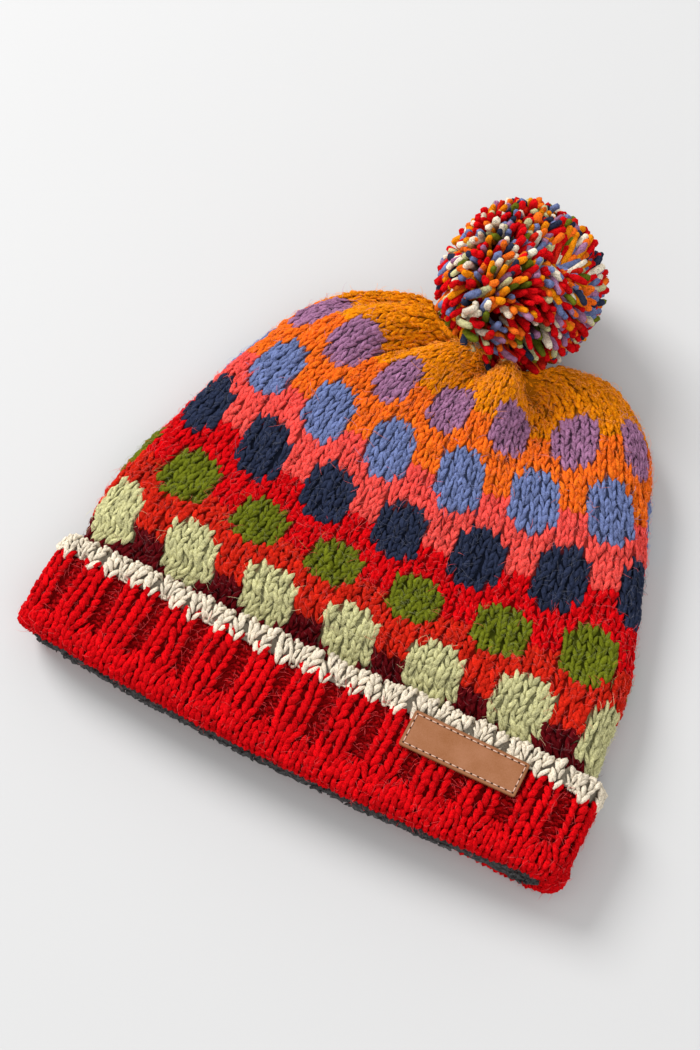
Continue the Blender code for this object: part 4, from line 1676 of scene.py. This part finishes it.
def fibre_mesh(name, net, count, places, colour_at, rng):
    """Fine closed fibres that start in the yarn and curl over it."""
    turn = rng.random(count) * (FIBRE_TURNS[1] - FIBRE_TURNS[0]) + FIBRE_TURNS[0]
    place = rng.uniform(*places, count)
    starts, normals, _ = net.read(turn, place)
    along = unit(rng.normal(0, 1, (count, 3)))
    along = unit(along - normals * np.sum(along * normals, axis=1, keepdims=True))
    swerve = np.cross(normals, along)
    share = np.linspace(0, 1, len(FIBRE_FULL))[None, :, None]
    length = (FIBRE_SHORTEST + FIBRE_SPARE * rng.random((count, 1)) ** 2)[..., None]
    height = (FIBRE_ARCH + FIBRE_ARCH_SPARE * rng.random((count, 1)))[..., None]
    curl = rng.normal(0, FIBRE_CURL, (count, 1))[..., None]
    middles = (
        starts[:, None]
        + along[:, None] * length * share
        + swerve[:, None] * length * curl * share**2
        + normals[:, None] * (-FIBRE_ROOT + height * np.sin(share * math.pi * 0.85) * 1.5)
    )
    half = np.broadcast_to(np.array(FIBRE_FULL) * sizes().fibre_width, middles.shape[:2])
    ups = np.broadcast_to(normals[:, None], middles.shape)
    colours = np.clip(colour_at(turn, place) * 1.15 + 0.02, 0, 1)
    return strand_mesh(name, middles, ups, half, half, colours, 3)


def build_fibres():
    rng = np.random.default_rng(71)
    count = sizes().fibres
    finish = loose_fibre("loose_fibre")

    def crown_colour(turn, place):
        return chart_colours(*on_chart(turn, place))

    def cuff_colour(turn, place):
        return np.tile(colour_of("red"), (len(turn), 1))

    some = int(count * CROWN_FIBRES)
    mesh = fibre_mesh("crown_fibres", crown_net(), some, (0.0, 0.93), crown_colour, rng)
    new_piece("crown_fibres", mesh, finish, "crown")
    some = int(count * CUFF_FIBRES)
    net = band_net(PATH_START, PATH_END, cuff_fold)
    mesh = fibre_mesh("cuff_fibres", net, some, (-0.004, path_at(OUTER_LEG_TOP)), cuff_colour, rng)
    new_piece("cuff_fibres", mesh, finish, "cuff")


def add_lamp(lamp):
    """A round lamp that looks at the hat."""
    light = bpy.data.lights.new(lamp.name, "AREA")
    light.shape = "DISK"
    light.size = lamp.width
    light.energy = lamp.power
    obj = add_object(lamp.name, light)
    obj.location = lamp.place
    obj.rotation_euler = (-Vector(lamp.place)).to_track_quat("-Z", "Y").to_euler()


def build_camera():
    turn = sizes().camera_turn
    rise = sizes().camera_rise
    away = (math.sin(turn) * math.cos(rise), -math.cos(turn) * math.cos(rise), math.sin(rise))
    back = Vector(away)
    camera = bpy.data.cameras.new("camera")
    camera.sensor_width = CAMERA_SENSOR
    camera.lens = CAMERA_LENS
    obj = add_object("camera", camera)
    obj.location = CAMERA_TARGET + back * sizes().camera_distance
    obj.rotation_euler = (-back).to_track_quat("-Z", "Y").to_euler()
    bpy.context.scene.camera = obj


def build_stage():
    bm = bmesh.new()
    bmesh.ops.create_grid(bm, x_segments=8, y_segments=8, size=TABLE_HALF)
    bmesh.ops.translate(bm, verts=bm.verts, vec=(0, 0, -TABLE_DROP))
    mesh = mesh_of("table_top", bm)
    mesh.materials.append(table_top("table_top"))
    floor = add_object("table_top", mesh)

    world = bpy.data.worlds.new("studio")
    world.use_nodes = True
    sky = world.node_tree.nodes["Background"].inputs
    sky["Color"].default_value = (1, 1, 1, 1)
    sky["Strength"].default_value = SKY_STRENGTH
    bpy.context.scene.world = world
    for lamp in LAMPS:
        add_lamp(lamp)
    build_camera()
    bpy.context.scene.view_settings.view_transform = "Standard"


# Buttons


class HAT_OT_crown(Operator):
    """Knit the crown's wall and its stitches"""

    bl_idname = "hat.crown"
    bl_label = "Crown"

    def execute(self, context):
        build_crown()
        return {"FINISHED"}


class HAT_OT_cuff(Operator):
    """Knit the folded ribbed cuff"""

    bl_idname = "hat.cuff"
    bl_label = "Cuff"

    def execute(self, context):
        build_cuff()
        return {"FINISHED"}


class HAT_OT_edging(Operator):
    """Knit the cuff's cream edging"""

    bl_idname = "hat.edging"
    bl_label = "Edging"

    def execute(self, context):
        build_edging()
        return {"FINISHED"}


class HAT_OT_lining(Operator):
    """Line the mouth with fleece"""

    bl_idname = "hat.lining"
    bl_label = "Lining"

    def execute(self, context):
        build_lining()
        return {"FINISHED"}


class HAT_OT_label(Operator):
    """Sew the leather label on the cuff"""

    bl_idname = "hat.label"
    bl_label = "Label"

    def execute(self, context):
        build_label()
        return {"FINISHED"}


class HAT_OT_pompom(Operator):
    """Make the pompom of cut yarn and the yarn that ties it on"""

    bl_idname = "hat.pompom"
    bl_label = "Pompom and tie"

    def execute(self, context):
        build_pompom()
        build_tie()
        return {"FINISHED"}


class HAT_OT_fibres(Operator):
    """Raise loose fibres off the knitting"""

    bl_idname = "hat.fibres"
    bl_label = "Loose fibres"

    def execute(self, context):
        build_fibres()
        return {"FINISHED"}


class HAT_OT_stage(Operator):
    """Set the table, the light and the camera"""

    bl_idname = "hat.stage"
    bl_label = "Stage"

    def execute(self, context):
        build_stage()
        return {"FINISHED"}


PIECES = (
    HAT_OT_crown,
    HAT_OT_cuff,
    HAT_OT_edging,
    HAT_OT_lining,
    HAT_OT_label,
    HAT_OT_pompom,
    HAT_OT_fibres,
    HAT_OT_stage,
)


class HAT_PT_panel(Panel):
    """The hat's sizes, colours and pieces"""

    bl_idname = "HAT_PT_panel"
    bl_label = "Bobble hat"
    bl_space_type = "VIEW_3D"
    bl_region_type = "UI"
    bl_category = "Hat"

    def draw(self, context):
        for group in (context.scene.hat_sizes, context.scene.hat_colours):
            box = self.layout.box()
            for name in group.__annotations__:
                box.prop(group, name)
        for piece in PIECES:
            self.layout.operator(piece.bl_idname)


CLASSES = (HatColours, HatSizes, *PIECES, HAT_PT_panel)


def register():
    for cls in CLASSES:
        bpy.utils.register_class(cls)
    bpy.types.Scene.hat_colours = PointerProperty(type=HatColours)
    bpy.types.Scene.hat_sizes = PointerProperty(type=HatSizes)


def unregister():
    del bpy.types.Scene.hat_sizes
    del bpy.types.Scene.hat_colours
    for cls in reversed(CLASSES):
        bpy.utils.unregister_class(cls)


def clear_startup():
    """Leave only the frame in the scene."""
    kept = set(frame["nodes"].values()) | set(frame["bodies"].values())
    for obj in list(bpy.data.objects):
        if obj not in kept:
            bpy.data.objects.remove(obj, do_unlink=True)


def main():
    register()
    clear_startup()
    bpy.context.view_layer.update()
    bpy.ops.hat.crown()
    bpy.ops.hat.cuff()
    bpy.ops.hat.edging()
    bpy.ops.hat.lining()
    bpy.ops.hat.label()
    bpy.ops.hat.pompom()
    bpy.ops.hat.fibres()
    bpy.ops.hat.stage()


if __name__ == "__main__":
    main()
